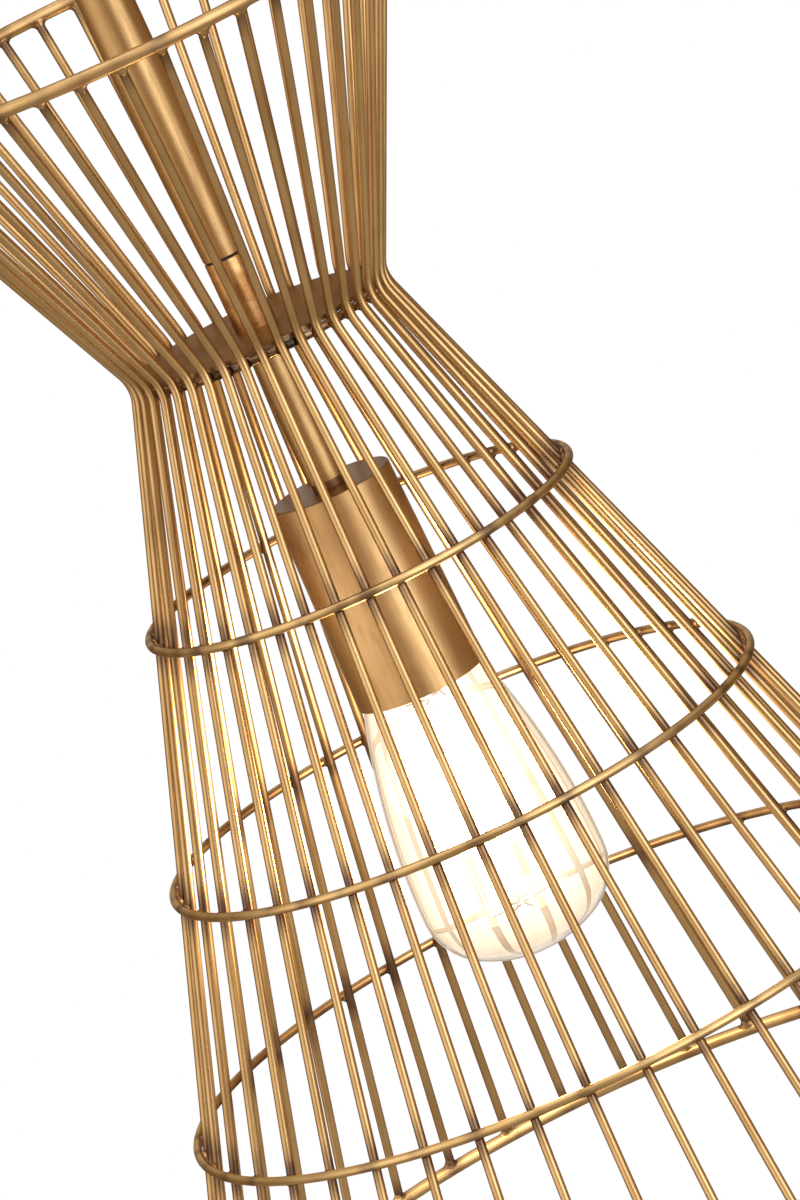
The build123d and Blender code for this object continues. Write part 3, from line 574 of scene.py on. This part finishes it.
# %% Which piece is made of what
FINISHES = {
    wire_brass: [f"cage_wires_{i:02d}" for i in range(1, 15)],
    hoop_brass: ["upper_hoop", "middle_hoop", "lower_hoop"],
    ring_brass: ["top_ring", "bottom_ring"],
    soot_and_shade_brass: ["waist_ring"],
    stem_brass: ["drop_rod", "tapered_stem", "lower_stem"],
    cup_brass: ["socket_cup"],
    cast_brass: ["stem_coupler"],
    disc_brass_painted_shade: ["waist_disc", "cup_spacer"],
    canopy_brass: ["canopy", "canopy_cap_nuts"],
    fitting_brass: ["swivel_upper_yoke", "swivel_lower_yoke", "swivel_cross", "swivel_pins",
                    "drop_rod_bushes", "stem_top_bush"],
    zinc: ["crossbar", "canopy_studs", "stud_lock_nuts", "canopy_washer", "canopy_lock_nut",
           "cup_lock_nut", "lampholder_bracket", "lampholder_screws", "canopy_nipple",
           "rod_top_nipple", "stem_joint_nipple", "waist_nipple", "cup_nipple"],
    green: ["ground_screw"],
    fibre: ["stem_washer"],
    porcelain: ["lampholder_body"],
    spring: ["lampholder_shell", "lampholder_tongue"],
    bright_cap: ["bulb_cap", "bulb_contact"],
    dark_bead: ["bulb_insulator"],
    nickel: ["bulb_supports"],
    amber_glass: ["bulb_glass"],
    clear_glass: ["bulb_glass_stem"],
    filament_metal: ["bulb_filament"],
}
for finish_material, names in FINISHES.items():
    for node_name in names:
        nodes[node_name].data.materials.clear()
        nodes[node_name].data.materials.append(finish_material)
finished = [name for names in FINISHES.values() for name in names]
print("finished", len(finished), "of", len(nodes), "missing:", sorted(set(nodes) - set(finished)))

# %% [markdown]
# ## Surfaces from grids of points
#
# Every new piece below is a grid: rows run along it and columns run round it.
# Numpy works out all the points at once, and the faces follow from counting rows and columns.
# Many copies of one small shape, such as a weld, are one array with one more direction.
# A mesh made by hand or by modifiers would work too, but a formula keeps exact contact with the rods.

# %% From an array of points to a mesh
UP = np.array([0, 0, 1.0])


def full_turn(count):
    """Angles evenly round a circle, without the last one that would meet the first."""
    return np.linspace(0, math.tau, count, endpoint=False)


def round_axis(radius, turn, height):
    """Points at a radius, a turn round the lamp's axis and a height."""
    parts = (radius * np.cos(turn), radius * np.sin(turn), height)
    return np.stack(np.broadcast_arrays(*parts), -1)


def spokes():
    """At each wire: the direction outwards from the axis, and the one along the ring."""
    out = round_axis(1, full_turn(WIRES), 0)
    return out, np.cross(UP, out)


def grid_piece(name, points, material, body, closed_rows=False):
    """Points are copies x rows x columns x 3. Neighbouring rows and columns make four-sided faces;
    columns wrap round, and open rows are closed at both ends by a fan to their mean point."""
    copies, rows, columns, _ = points.shape
    row_count = rows if closed_rows else rows - 1
    step = rows * columns
    row, column = np.meshgrid(np.arange(row_count), np.arange(columns), indexing="ij")
    next_row, next_column = (row + 1) % rows, (column + 1) % columns
    corners = [row * columns + column, row * columns + next_column,
               next_row * columns + next_column, next_row * columns + column]
    quads = np.stack(corners, -1).reshape(-1, 4)
    starts = np.arange(copies)[:, None, None] * step
    faces = (quads[None] + starts).reshape(-1, 4).tolist()
    vertices = points.reshape(-1, 3)
    if not closed_rows:
        poles = np.concatenate([points[:, 0].mean(1), points[:, -1].mean(1)])
        around = np.arange(columns)
        after = (around + 1) % columns
        first = np.stack([after, around, np.full(columns, 0)], -1)[None] + starts
        last = np.stack([around, after, np.full(columns, 0)], -1)[None] + (starts + step - columns)
        pole_index = copies * step + np.arange(copies)[:, None]
        first[..., 2], last[..., 2] = pole_index, pole_index + copies
        faces += first.reshape(-1, 3).tolist() + last.reshape(-1, 3).tolist()
        vertices = np.concatenate([vertices, poles])
    mesh = bpy.data.meshes.new(name)
    mesh.from_pydata(vertices.tolist(), [], faces)
    mesh.update()
    mesh.shade_smooth()
    mesh.materials.append(material)
    piece = bpy.data.objects.new(name, mesh)
    bpy.context.scene.collection.objects.link(piece)
    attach(piece, body)
    mesh.calc_loop_triangles()
    corner = np.array([t.vertices for t in mesh.loop_triangles])
    a, b, c = (vertices[corner[:, k]] for k in range(3))
    volume = float(np.einsum("ij,ij->i", a, np.cross(b, c)).sum() / 6)
    print(f"{name}: {copies} x {rows} x {columns}, {len(corner)} triangles, {volume * 1e9:.1f} mm3")
    return piece


# %% [markdown]
# ## Welds where the wires meet the end rings
#
# Each wire ends on a thicker ring, and the weld fills the corner between them.
# Seen against the light it is a small concave web, about three millimetres along the ring.
# A boolean and a bevel could round that corner, but 84 of them would be slow and fragile.
# A curve that leaves the wire straight and lands flat on the ring does the same in one formula.
# It is a quadratic Bezier: its middle point is the sharp corner that the weld has filled.

# %% Weld webs on the top and bottom rings
rng = np.random.default_rng(7)
# How far a web reaches along the ring, up the wire and to each side, and how lumpy it is.
WEB_REACH, WEB_CLIMB, WEB_SIDE = 0.0026, 0.0022, 0.0010
WEB_LUMPS = 0.00016
# A weld's skin begins and ends a little inside the rods, at these shares of their radii.
WIRE_SUNK, RING_SUNK = 0.96, 0.97


def lumps(copies, rows, columns, size):
    """A few slow random waves round each weld, so that no two welds are alike."""
    around = full_turn(columns)[None, None]
    along = np.linspace(0, 1, rows)[None, :, None]
    wave = np.zeros((copies, rows, columns))
    for count in (1, 2, 3):
        phase = rng.uniform(0, math.tau, (copies, 1, 1))
        height = rng.normal(0, size / count, (copies, 1, 1))
        wave = wave + height * np.cos(count * around + phase) * np.sin(math.pi * along)
    return wave


def ring_welds(name, ring, columns=14, rows=5):
    """For each wire: B(v) = (1-v)^2 W + 2v(1-v) C + v^2 Q, from the wire's skin W over the corner C
    to the ring's skin Q. Q is wrapped round the rod: its angle is arc length over rod radius."""
    circle, rod, ring_z = ring
    out, tangent = spokes()
    centre = out * circle + UP * ring_z
    along = out * WAIST_RADIUS + UP * WAIST_Z - centre
    along /= np.linalg.norm(along, axis=-1, keepdims=True)
    across = np.cross(tangent, along)
    phi = full_turn(columns)[None, None, :, None]
    v = np.linspace(0, 1, rows)[None, :, None, None]
    centre, along, tangent, across = (a[:, None, None, :] for a in (centre, along, tangent, across))
    reach = WEB_REACH * rng.uniform(0.75, 1.3, (WIRES, 1, 1, 1))
    climb = WEB_CLIMB * rng.uniform(0.7, 1.4, (WIRES, 1, 1, 1))
    radial = tangent * np.cos(phi) + across * np.sin(phi)
    wire_skin = centre + along * (rod + climb) + radial * (WIRE_RADIUS * WIRE_SUNK)
    corner = centre + radial * WIRE_RADIUS + along * np.sqrt(rod**2 - (WIRE_RADIUS * np.sin(phi)) ** 2)
    wrap = (WIRE_RADIUS + WEB_SIDE) * np.sin(phi) / rod
    ring_skin = centre + tangent * (WIRE_RADIUS + reach) * np.cos(phi)
    ring_skin = ring_skin + RING_SUNK * rod * (across * np.sin(wrap) + along * np.cos(wrap))
    curve = (1 - v) ** 2 * wire_skin + 2 * v * (1 - v) * corner + v**2 * ring_skin
    swell = lumps(WIRES, rows, columns, WEB_LUMPS)[..., None]
    curve = curve + (radial + along) * swell
    # Smaller rows inside the wire and the ring close each web where nobody sees them.
    start = centre + along * (rod + climb)
    end = centre + 0.2 * (ring_skin - centre)
    points = np.concatenate([start * 0.9 + curve[:, :1] * 0.1, curve, end], axis=1)
    return grid_piece(name, points, weld_brass, "lamp")


ring_welds("top_ring_welds", TOP_RING)
ring_welds("bottom_ring_welds", BOTTOM_RING)

# %% [markdown]
# ## Welds where a hoop crosses a wire
#
# A hoop lies across the outside of each wire, and the two round rods touch at one point.
# The weld fills the corners round that point, so it is a saddle:
# next to the hoop it reaches along the hoop, and next to the wire it reaches along the wire.
# The same saddle, a little larger and coloured nearly black for soot and painted shade under the disc,
# joins the waist ring to the inside of each bend.

# %% Saddle welds on the three hoops and the waist ring
LOWER_LEAN = math.atan(LOWER_SLOPE)
# Half the width of a saddle's neck, how far it sinks into the rods, and how far its toes reach.
SADDLE_NECK, SADDLE_SINK = 0.0013, 0.00015
HOOP_TOE, WAIST_TOE = 0.0014, 0.0021


def crossing_welds(name, ring, lean, outwards, toe, material, columns=10, rows=4):
    """An ellipse carried from the wire (w = -1) to the ring (w = 1). Half its width along the ring is
    the neck + toe x ((1+w)/2)^1.5, and along the wire the neck + toe x ((1-w)/2)^1.5."""
    circle, rod, ring_z = ring
    out, tangent = spokes()
    to_ring = outwards * (out * math.cos(lean) + UP * math.sin(lean))
    half = (rod + WIRE_RADIUS - SADDLE_SINK) / 2
    middle = out * circle + UP * ring_z - to_ring * half
    along = np.cross(to_ring, tangent)
    to_ring, along, tangent, middle = (a[:, None, None, :] for a in (to_ring, along, tangent, middle))
    w = np.linspace(-1, 1, rows)[None, :, None, None]
    phi = full_turn(columns)[None, None, :, None]
    size = toe * rng.uniform(0.8, 1.25, (WIRES, 1, 1, 1))
    swell = 1 + lumps(WIRES, rows, columns, 0.07)[..., None]
    beside = SADDLE_NECK + size * ((1 + w) / 2) ** 1.5
    lengthwise = SADDLE_NECK + size * ((1 - w) / 2) ** 1.5
    points = middle + to_ring * w * half * RING_SUNK
    points = points + swell * (tangent * beside * np.cos(phi) + along * lengthwise * np.sin(phi))
    return grid_piece(name, points, material, "lamp")


for hoop_name, hoop in zip(("upper_hoop_welds", "middle_hoop_welds", "lower_hoop_welds"), HOOPS):
    crossing_welds(hoop_name, hoop, LOWER_LEAN, 1, HOOP_TOE, bead_brass)
crossing_welds("waist_welds", WAIST_RING, 0, -1, WAIST_TOE, soot_and_shade_brass)

# %% [markdown]
# ## Butt welds that close each ring
#
# A hoop is a straight rod rolled into a circle, so it has one joint where its two ends were welded.
# The bead was filed down by hand and left a low, pitted swelling about five millimetres long.
# On the upper and the lower hoop these joints lie at a wire, where they are seen from the front.

# %% Filed beads on all six rings
# Each ring with the turn of its joint in degrees.
JOINTS = [(HOOPS[0], 317.0), (HOOPS[1], 97.0), (HOOPS[2], 265.5),
          (TOP_RING, 64.0), (BOTTOM_RING, 201.0), (WAIST_RING, 124.0)]
BEAD_END, BEAD_HALF, BEAD_RISE = 0.0038, 0.0022, 0.12


def butt_welds(rows=13, columns=16):
    """The rod's own radius times 0.98 + rise x exp(-(s / half)^4), with s the arc from the joint."""
    circle, rod, height, turn = (
        np.array(values)[:, None, None]
        for values in zip(*[(*ring, math.radians(degrees)) for ring, degrees in JOINTS])
    )
    arc = np.linspace(-BEAD_END, BEAD_END, rows)[None, :, None]
    phi = full_turn(columns)[None, None, :]
    bell = np.exp(-((arc / BEAD_HALF) ** 4))
    lump = 1 + lumps(len(JOINTS), rows, columns, 0.05) * bell
    radius = rod * (0.98 + BEAD_RISE * bell) * lump
    reach = circle + radius * np.cos(phi)
    points = round_axis(reach, turn + arc / circle, height - radius * np.sin(phi))
    return grid_piece("butt_welds", points, weld_brass, "lamp")


butt_welds()

# %% [markdown]
# ## Rolled threads
#
# The bulb's cap and the shell that receives it are thin brass rolled into one and the same screw form.
# A thread cut as a spiral body would be heavy, but a thread is also a simple surface:
# at each height the circle is a little off centre, and the offset turns as the height grows.
# Both surfaces use the same turn, so the bulb screws out of the shell without touching it.
# The hollow nipple and the studs at the ceiling carry finer threads of the same kind.

# %% Radius of a right-hand thread
THREAD_STEPS = 10


def screw_surface(name, replaced, profile, thread, columns, places, body, material, wall=None):
    """r = profile radius - depth/2 + depth/2 x cos(2 pi z / pitch - angle) between start and end,
    easing to the plain profile over half a turn at both ends. With a wall, the inside follows.
    The thread is its pitch, its depth, and the heights where it starts and ends."""
    pitch, depth, start, end = thread
    radii, heights = zip(*profile)
    low, high = heights[0], heights[-1]
    turns = (high - low) / pitch
    z = np.union1d(np.linspace(low, high, int(turns * THREAD_STEPS) + 2), heights)
    plain = np.interp(z, heights, radii)
    ease = np.clip((z - start) / (pitch / 2), 0, 1) * np.clip((end - z) / (pitch / 2), 0, 1)
    angle = full_turn(columns)
    wave = np.cos(math.tau * z[:, None] / pitch - angle[None])
    radius = plain[:, None] + depth / 2 * ease[:, None] * (wave - 1)
    height = z[:, None]
    if wall is not None:
        radius = np.concatenate([radius, (radius - wall)[::-1]])
        height = np.concatenate([height, height[::-1]])
    points = round_axis(radius, angle, height)[None] + np.array([[[[x, y, 0]]] for x, y in places])
    piece = grid_piece(name, points, material, body, closed_rows=wall is not None)
    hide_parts(replaced)
    return piece


# %% Bulb cap and lampholder shell
CAP_LOW, CAP_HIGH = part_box("bulb_cap")
SHELL_LOW, SHELL_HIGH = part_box("lampholder_shell")
CAP_PITCH = 25.4e-3 / 7
CAP_DEPTH = 0.00085
CAP_SHOULDER = 0.0022
PLAIN_SKIRT = 0.0065
CAP_WALL, SHELL_WALL = 0.00035, 0.0004
AXIS = [(0, 0)]
first_turn = CAP_LOW.z + PLAIN_SKIRT
cap_thread = (CAP_PITCH, CAP_DEPTH, first_turn, CAP_HIGH.z - CAP_SHOULDER)
cap_profile = [(CAP_HIGH.x, CAP_LOW.z), (CAP_HIGH.x, CAP_HIGH.z - CAP_SHOULDER),
               (CAP_HIGH.x - CAP_SHOULDER, CAP_HIGH.z)]
screw_surface("bulb_cap_thread", "bulb_cap", cap_profile, cap_thread, 40, AXIS, "bulb",
              bright_cap, wall=CAP_WALL)
shell_thread = (CAP_PITCH, CAP_DEPTH, first_turn, SHELL_HIGH.z + CAP_PITCH)
shell_profile = [(SHELL_HIGH.x, SHELL_LOW.z), (SHELL_HIGH.x, SHELL_HIGH.z)]
screw_surface("lampholder_shell_thread", "lampholder_shell", shell_profile, shell_thread, 40, AXIS,
              "lamp", spring, wall=SHELL_WALL)

# %% Nipple and studs at the ceiling
NIPPLE_LOW, NIPPLE_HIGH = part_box("canopy_nipple")
STUD_LOW, STUD_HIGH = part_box("canopy_studs")
NIPPLE_PITCH, NIPPLE_DEPTH, NIPPLE_BORE = 0.001, 0.0005, 0.0035
STUD_PITCH, STUD_DEPTH, STUD_POINT = 0.0007, 0.0004, 0.0005
STUD_RADIUS = STUD_HIGH.y
STUD_X = STUD_HIGH.x - STUD_RADIUS
nipple_thread = (NIPPLE_PITCH, NIPPLE_DEPTH, NIPPLE_LOW.z, NIPPLE_HIGH.z)
nipple_profile = [(NIPPLE_HIGH.x, NIPPLE_LOW.z), (NIPPLE_HIGH.x, NIPPLE_HIGH.z)]
screw_surface("canopy_nipple_thread", "canopy_nipple", nipple_profile, nipple_thread, 28, AXIS,
              "ceiling", zinc, wall=NIPPLE_HIGH.x - NIPPLE_BORE)
stud_thread = (STUD_PITCH, STUD_DEPTH, STUD_LOW.z, STUD_HIGH.z)
stud_profile = [(STUD_RADIUS - STUD_POINT, STUD_LOW.z), (STUD_RADIUS, STUD_LOW.z + STUD_POINT),
                (STUD_RADIUS, STUD_HIGH.z)]
screw_surface("canopy_stud_threads", "canopy_studs", stud_profile, stud_thread, 18,
              [(-STUD_X, 0), (STUD_X, 0)], "ceiling", zinc)

# %% [markdown]
# ## The filament
#
# Twelve fine strands run down and up between two circles of hooks, and heat makes them bow outwards.
# The solid model draws them straight and a little thick, so that they are easy to handle there.
# Here each strand is a thin tube along a shallow arch, and all twelve are one array.

# %% Bowed strands between the hooks
STRANDS = 12
STRAND_RADIUS = 0.00022
UPPER_HOOKS, LOWER_HOOKS = 0.0085, 0.011
BOW = 0.0014


def filament_strands(rows=15, columns=6):
    """Middle line: (1-t) A + t B + outwards x bow x sin(pi t); the tube lies square to B - A."""
    step = math.tau / (STRANDS / 2 + 1)
    order = np.arange(STRANDS + 1)
    turn = order * step / 2
    upper = order % 2 == 0
    radius = np.where(upper, UPPER_HOOKS, LOWER_HOOKS)
    height = np.where(upper, FILAMENT_HIGH.z, FILAMENT_LOW.z)
    hooks = round_axis(radius, turn, height)
    first, last = hooks[:-1], hooks[1:]
    run = (last - first) / np.linalg.norm(last - first, axis=-1, keepdims=True)
    outwards = (first + last) * np.array([1, 1, 0])
    outwards /= np.linalg.norm(outwards, axis=-1, keepdims=True)
    sideways = np.cross(run, outwards)
    first, last, outwards, sideways = (a[:, None, None, :] for a in (first, last, outwards, sideways))
    t = np.linspace(0, 1, rows)[None, :, None, None]
    phi = full_turn(columns)[None, None, :, None]
    bow = BOW * rng.uniform(0.6, 1.3, (STRANDS, 1, 1, 1))
    middle = (1 - t) * first + t * last + outwards * bow * np.sin(math.pi * t)
    points = middle + STRAND_RADIUS * (outwards * np.cos(phi) + sideways * np.sin(phi))
    piece = grid_piece("filament_strands", points, filament_metal, "bulb")
    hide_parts("bulb_filament")
    return piece


filament = filament_strands()

# %% [markdown]
# ## A bulb blown in one piece
#
# The real bulb is blown, so its wall is a perfectly smooth surface turned round the axis.
# The CAD mesh has the right shape, but its triangles are uneven, and through two layers of glass
# each of them bends the view a little differently: the wires behind would look torn.
# So the same outline is turned here on an even grid, outside up and inside down again.

# %% Outline of the glass and its two skins
NECK_TOP_Z, NECK_RADIUS = BULB_HIGH.z, 0.01275
MOUTH_Z = -0.6474
BULGE_START_Z, BULGE_START_RADIUS = -0.6494, 0.0156
WIDEST_Z, WIDEST_RADIUS = -0.7359, BULB_HIGH.x
SHOULDER_RADIUS = 0.021
GLASS_WALL = 0.0008
# The crown's arc stops this turn short of the axis, and a fan closes the tip.
TIP_TURN = 0.008


def bulb_outline(inset, step):
    """Radius and height from the tip to the neck: a crown arc, a small shoulder arc, one long arc of
    radius (d^2 + h^2) / 2d that stands upright at the widest circle, and the straight neck."""
    shoulder_x = WIDEST_RADIUS - SHOULDER_RADIUS
    shoulder = SHOULDER_RADIUS - inset
    drop = WIDEST_Z - BULB_LOW.z - inset
    crown = (shoulder_x**2 + drop**2 - shoulder**2) / (2 * (drop - shoulder))
    meet = math.atan2(drop - crown, shoulder_x)
    side_in, side_up = WIDEST_RADIUS - BULGE_START_RADIUS, BULGE_START_Z - WIDEST_Z
    side = (side_in**2 + side_up**2) / (2 * side_in)
    top = math.asin(side_up / side)
    arcs = [(0, BULB_LOW.z + inset + crown, crown, -math.pi / 2 + TIP_TURN, meet),
            (shoulder_x, WIDEST_Z, shoulder, meet, 0),
            (WIDEST_RADIUS - inset - side, WIDEST_Z, side, 0, top)]
    points = []
    for x, z, size, start, end in arcs:
        turn = np.linspace(start, end, max(3, round(abs(end - start) * size / step)))
        points.append(np.stack([x + size * np.cos(turn), z + size * np.sin(turn)], -1)[:-1])
    neck = [(BULGE_START_RADIUS - inset, BULGE_START_Z), (NECK_RADIUS - inset, MOUTH_Z),
            (NECK_RADIUS - inset, NECK_TOP_Z)]
    return np.concatenate(points + [np.array(neck)])


def blown_bulb(columns=128, step=0.0009):
    """(r cos a, r sin a, z) along the outer outline and back along the inner one."""
    outline = np.concatenate([bulb_outline(0, step), bulb_outline(GLASS_WALL, step)[::-1]])
    points = round_axis(outline[:, :1], full_turn(columns), outline[:, 1:])[None]
    piece = grid_piece("blown_bulb", points, amber_glass, "bulb")
    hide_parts("bulb_glass")
    return piece


bulb = blown_bulb()

# %% [markdown]
# ## Light for brass
#
# Brass has almost no colour of its own in the dark: it shows what stands around it.
# Each round piece here shows two bright bands with a darker line between,
# so there was a broad soft light on the left, a narrower and stronger one on the right,
# and little behind the camera. Lamps could stand there, but soft lights painted into the world
# by direction have no hard edges on metal and light every wire alike.
# The white behind the lamp is the backdrop, which metal and glass show as well.

# %% The studio: dim room, soft lights and white backdrop
WHITE = (1.0, 1.0, 1.0)
ROOM_DIM = (0.215, 0.138, 0.075)
ROOM_ABOVE = (0.55, 0.50, 0.44)
ROOM_BELOW = (0.36, 0.32, 0.27)
LIGHT_TINT = (1.0, 0.985, 0.96)
# Each soft light: middle and half width round the lamp, softness, lowest and highest, strength, tint.
# Degrees from the camera's side, positive to its right.
SOFT_LIGHTS = [(-62, 32, 16, -22, 58, 0.86, (1.0, 0.97, 0.89)),
               (34, 20, 9, -22, 58, 2.05, (1.0, 1.03, 1.02))]
LIGHT_ABOVE = 1.0
# How far up, down or back a direction points where each part of the room begins and is complete.
CEILING_Z, GROUND_Z, BACKDROP_Y, OVERHEAD_Z = (0.0, 0.85), (-0.25, -0.85), (0.88, 0.985), (0.88, 0.96)
SOFT_EDGE = 0.12


class Studio(Finish):
    """The world's own nodes, made with the same helpers as a finish."""

    def __init__(self, name):
        self.world = bpy.data.worlds.new(name)
        self.world.use_nodes = True
        self.tree = self.world.node_tree
        self.tree.nodes.clear()
        self.place = self.node("ShaderNodeTexCoord").outputs["Generated"]

    def soft_light(self, turn, height, light):
        """Full within the light's width and height, easing to 0 over its softness."""
        *degrees, strength, tint = light
        middle, half, soft, low, high = (math.radians(v) for v in degrees)
        beside = self.ramp(self.gap(turn, middle), half + soft, half - soft)
        above = self.ramp(height, math.sin(low) - SOFT_EDGE, math.sin(low) + SOFT_EDGE)
        below = self.ramp(height, math.sin(high) + SOFT_EDGE, math.sin(high) - SOFT_EDGE, 0, strength)
        return self.vector_times(self.times(self.times(beside, above), below), tint)

    def sum(self, first, second):
        """Two lights from the same direction added up."""
        return self.vector("ADD", first, second)[0]


def studio_world():
    """Camera and see-through rays see white. Other rays see the dim warm room with its soft lights,
    and the white backdrop behind the lamp."""
    studio = Studio("studio")
    x, y, z = studio.axes()
    turn = studio.math("ARCTAN2", x, studio.times(y, -1.0))
    room = studio.blend(studio.ramp(z, *CEILING_Z), ROOM_DIM, ROOM_ABOVE)
    room = studio.blend(studio.ramp(z, *GROUND_Z), room, ROOM_BELOW)
    room = studio.blend(studio.ramp(y, *BACKDROP_Y), room, WHITE)
    overhead = studio.vector_times(studio.ramp(z, *OVERHEAD_Z, 0, LIGHT_ABOVE), LIGHT_TINT)
    total = studio.sum(room, overhead)
    for soft_light in SOFT_LIGHTS:
        total = studio.sum(total, studio.soft_light(turn, z, soft_light))
    rays = studio.node("ShaderNodeLightPath").outputs
    straight = studio.larger(rays["Is Camera Ray"], rays["Is Transmission Ray"])
    background = studio.node("ShaderNodeBackground", studio.blend(straight, total, WHITE))
    studio.node("ShaderNodeOutputWorld", background.outputs[0])
    bpy.context.scene.world = studio.world


studio_world()
print("soft lights:", len(SOFT_LIGHTS), "beside the lamp and one above it")

# %% [markdown]
# ## The light of the bulb
#
# The glowing wire is too thin to light the cage without noise, so a soft round lamp stands in for it.
# It is a child of the filament and moves with it.
# Its light counts only where it falls first: followed from wire to wire, it would end in bright dots.
# The glass casts no shadow and isn't mirrored in the brass, because that light is slow to follow too.

# %% One warm lamp at the middle of the filament
GLOW_WATTS = 2.1
GLOW_COLOUR = (1.0, 0.74, 0.44)
GLOW_RADIUS = 0.022
glow = bpy.data.lights.new("bulb_light", "POINT")
glow.energy = GLOW_WATTS
glow.color = GLOW_COLOUR
glow.shadow_soft_size = GLOW_RADIUS
glow.cycles.max_bounces = 0
glow_object = bpy.data.objects.new("bulb_light", glow)
bpy.context.scene.collection.objects.link(glow_object)
glow_object.location = (0, 0, (FILAMENT_LOW.z + FILAMENT_HIGH.z) / 2)
glow_object.parent = filament
for piece in (bulb, nodes["bulb_glass_stem"], nodes["bulb_supports"]):
    piece.visible_shadow = piece.visible_glossy = piece.visible_diffuse = False
filament.visible_glossy = filament.visible_diffuse = filament.visible_shadow = False
for glowing in (amber_glass, clear_glass, filament_metal):
    glowing.cycles.emission_sampling = "NONE"
print("bulb light at height", round(glow_object.location.z, 4))

# %% [markdown]
# ## The floor far below
#
# The lamp hangs free, so the floor only sends light up from below and stays white.
# It lies so far down that a camera under the lamp still stands above it,
# and it is wide enough to fill the same part of the view below as a near floor would.
# A round disc has no corners to show in a side view.

# %% A round white floor
FLOOR_Z = -11.2
FLOOR_RADIUS = 18.0
FLOOR_SIDES = 96
WHITE_FROM_Y, WHITE_AT_Y = 6.0, 15.6


def floor_paper():
    """White for camera and see-through rays. Metal sees the dim room's colour in it, and white only
    behind the lamp. Every other ray meets matt paper."""
    paper = Finish("floor_paper")
    rays = paper.node("ShaderNodeLightPath").outputs
    straight = paper.larger(rays["Is Camera Ray"], rays["Is Transmission Ray"])
    behind = paper.ramp(paper.axes()[1], WHITE_FROM_Y, WHITE_AT_Y)
    seen = paper.larger(straight, rays["Is Glossy Ray"])
    colour = paper.blend(paper.larger(behind, straight), ROOM_BELOW, WHITE)
    shown = paper.node("ShaderNodeEmission", colour).outputs[0]
    matt = paper.node("ShaderNodeBsdfDiffuse", (0.9, 0.9, 0.9, 1)).outputs[0]
    either = paper.node("ShaderNodeMixShader", seen, matt, shown)
    paper.node("ShaderNodeOutputMaterial", either.outputs[0])
    paper.material.cycles.emission_sampling = "NONE"
    return paper.material


rim = round_axis(FLOOR_RADIUS, full_turn(FLOOR_SIDES), FLOOR_Z)
floor_mesh = bpy.data.meshes.new("floor")
floor_mesh.from_pydata(rim.tolist(), [], [list(range(FLOOR_SIDES))])
floor_mesh.update()
floor_mesh.materials.append(floor_paper())
floor = bpy.data.objects.new("floor", floor_mesh)
bpy.context.scene.collection.objects.link(floor)
bpy.context.scene.view_settings.view_transform = "Standard"
print("floor at", FLOOR_Z, "with radius", FLOOR_RADIUS)

# %% [markdown]
# ## Bringing the scene up to date
#
# Only trim was added to the packed lamp, so its box may differ from the packed one by a tenth of a
# millimetre and no more.
# The view layer is brought up to date once more at the end.

# %% Bringing the scene up to date
bpy.context.view_layer.update()
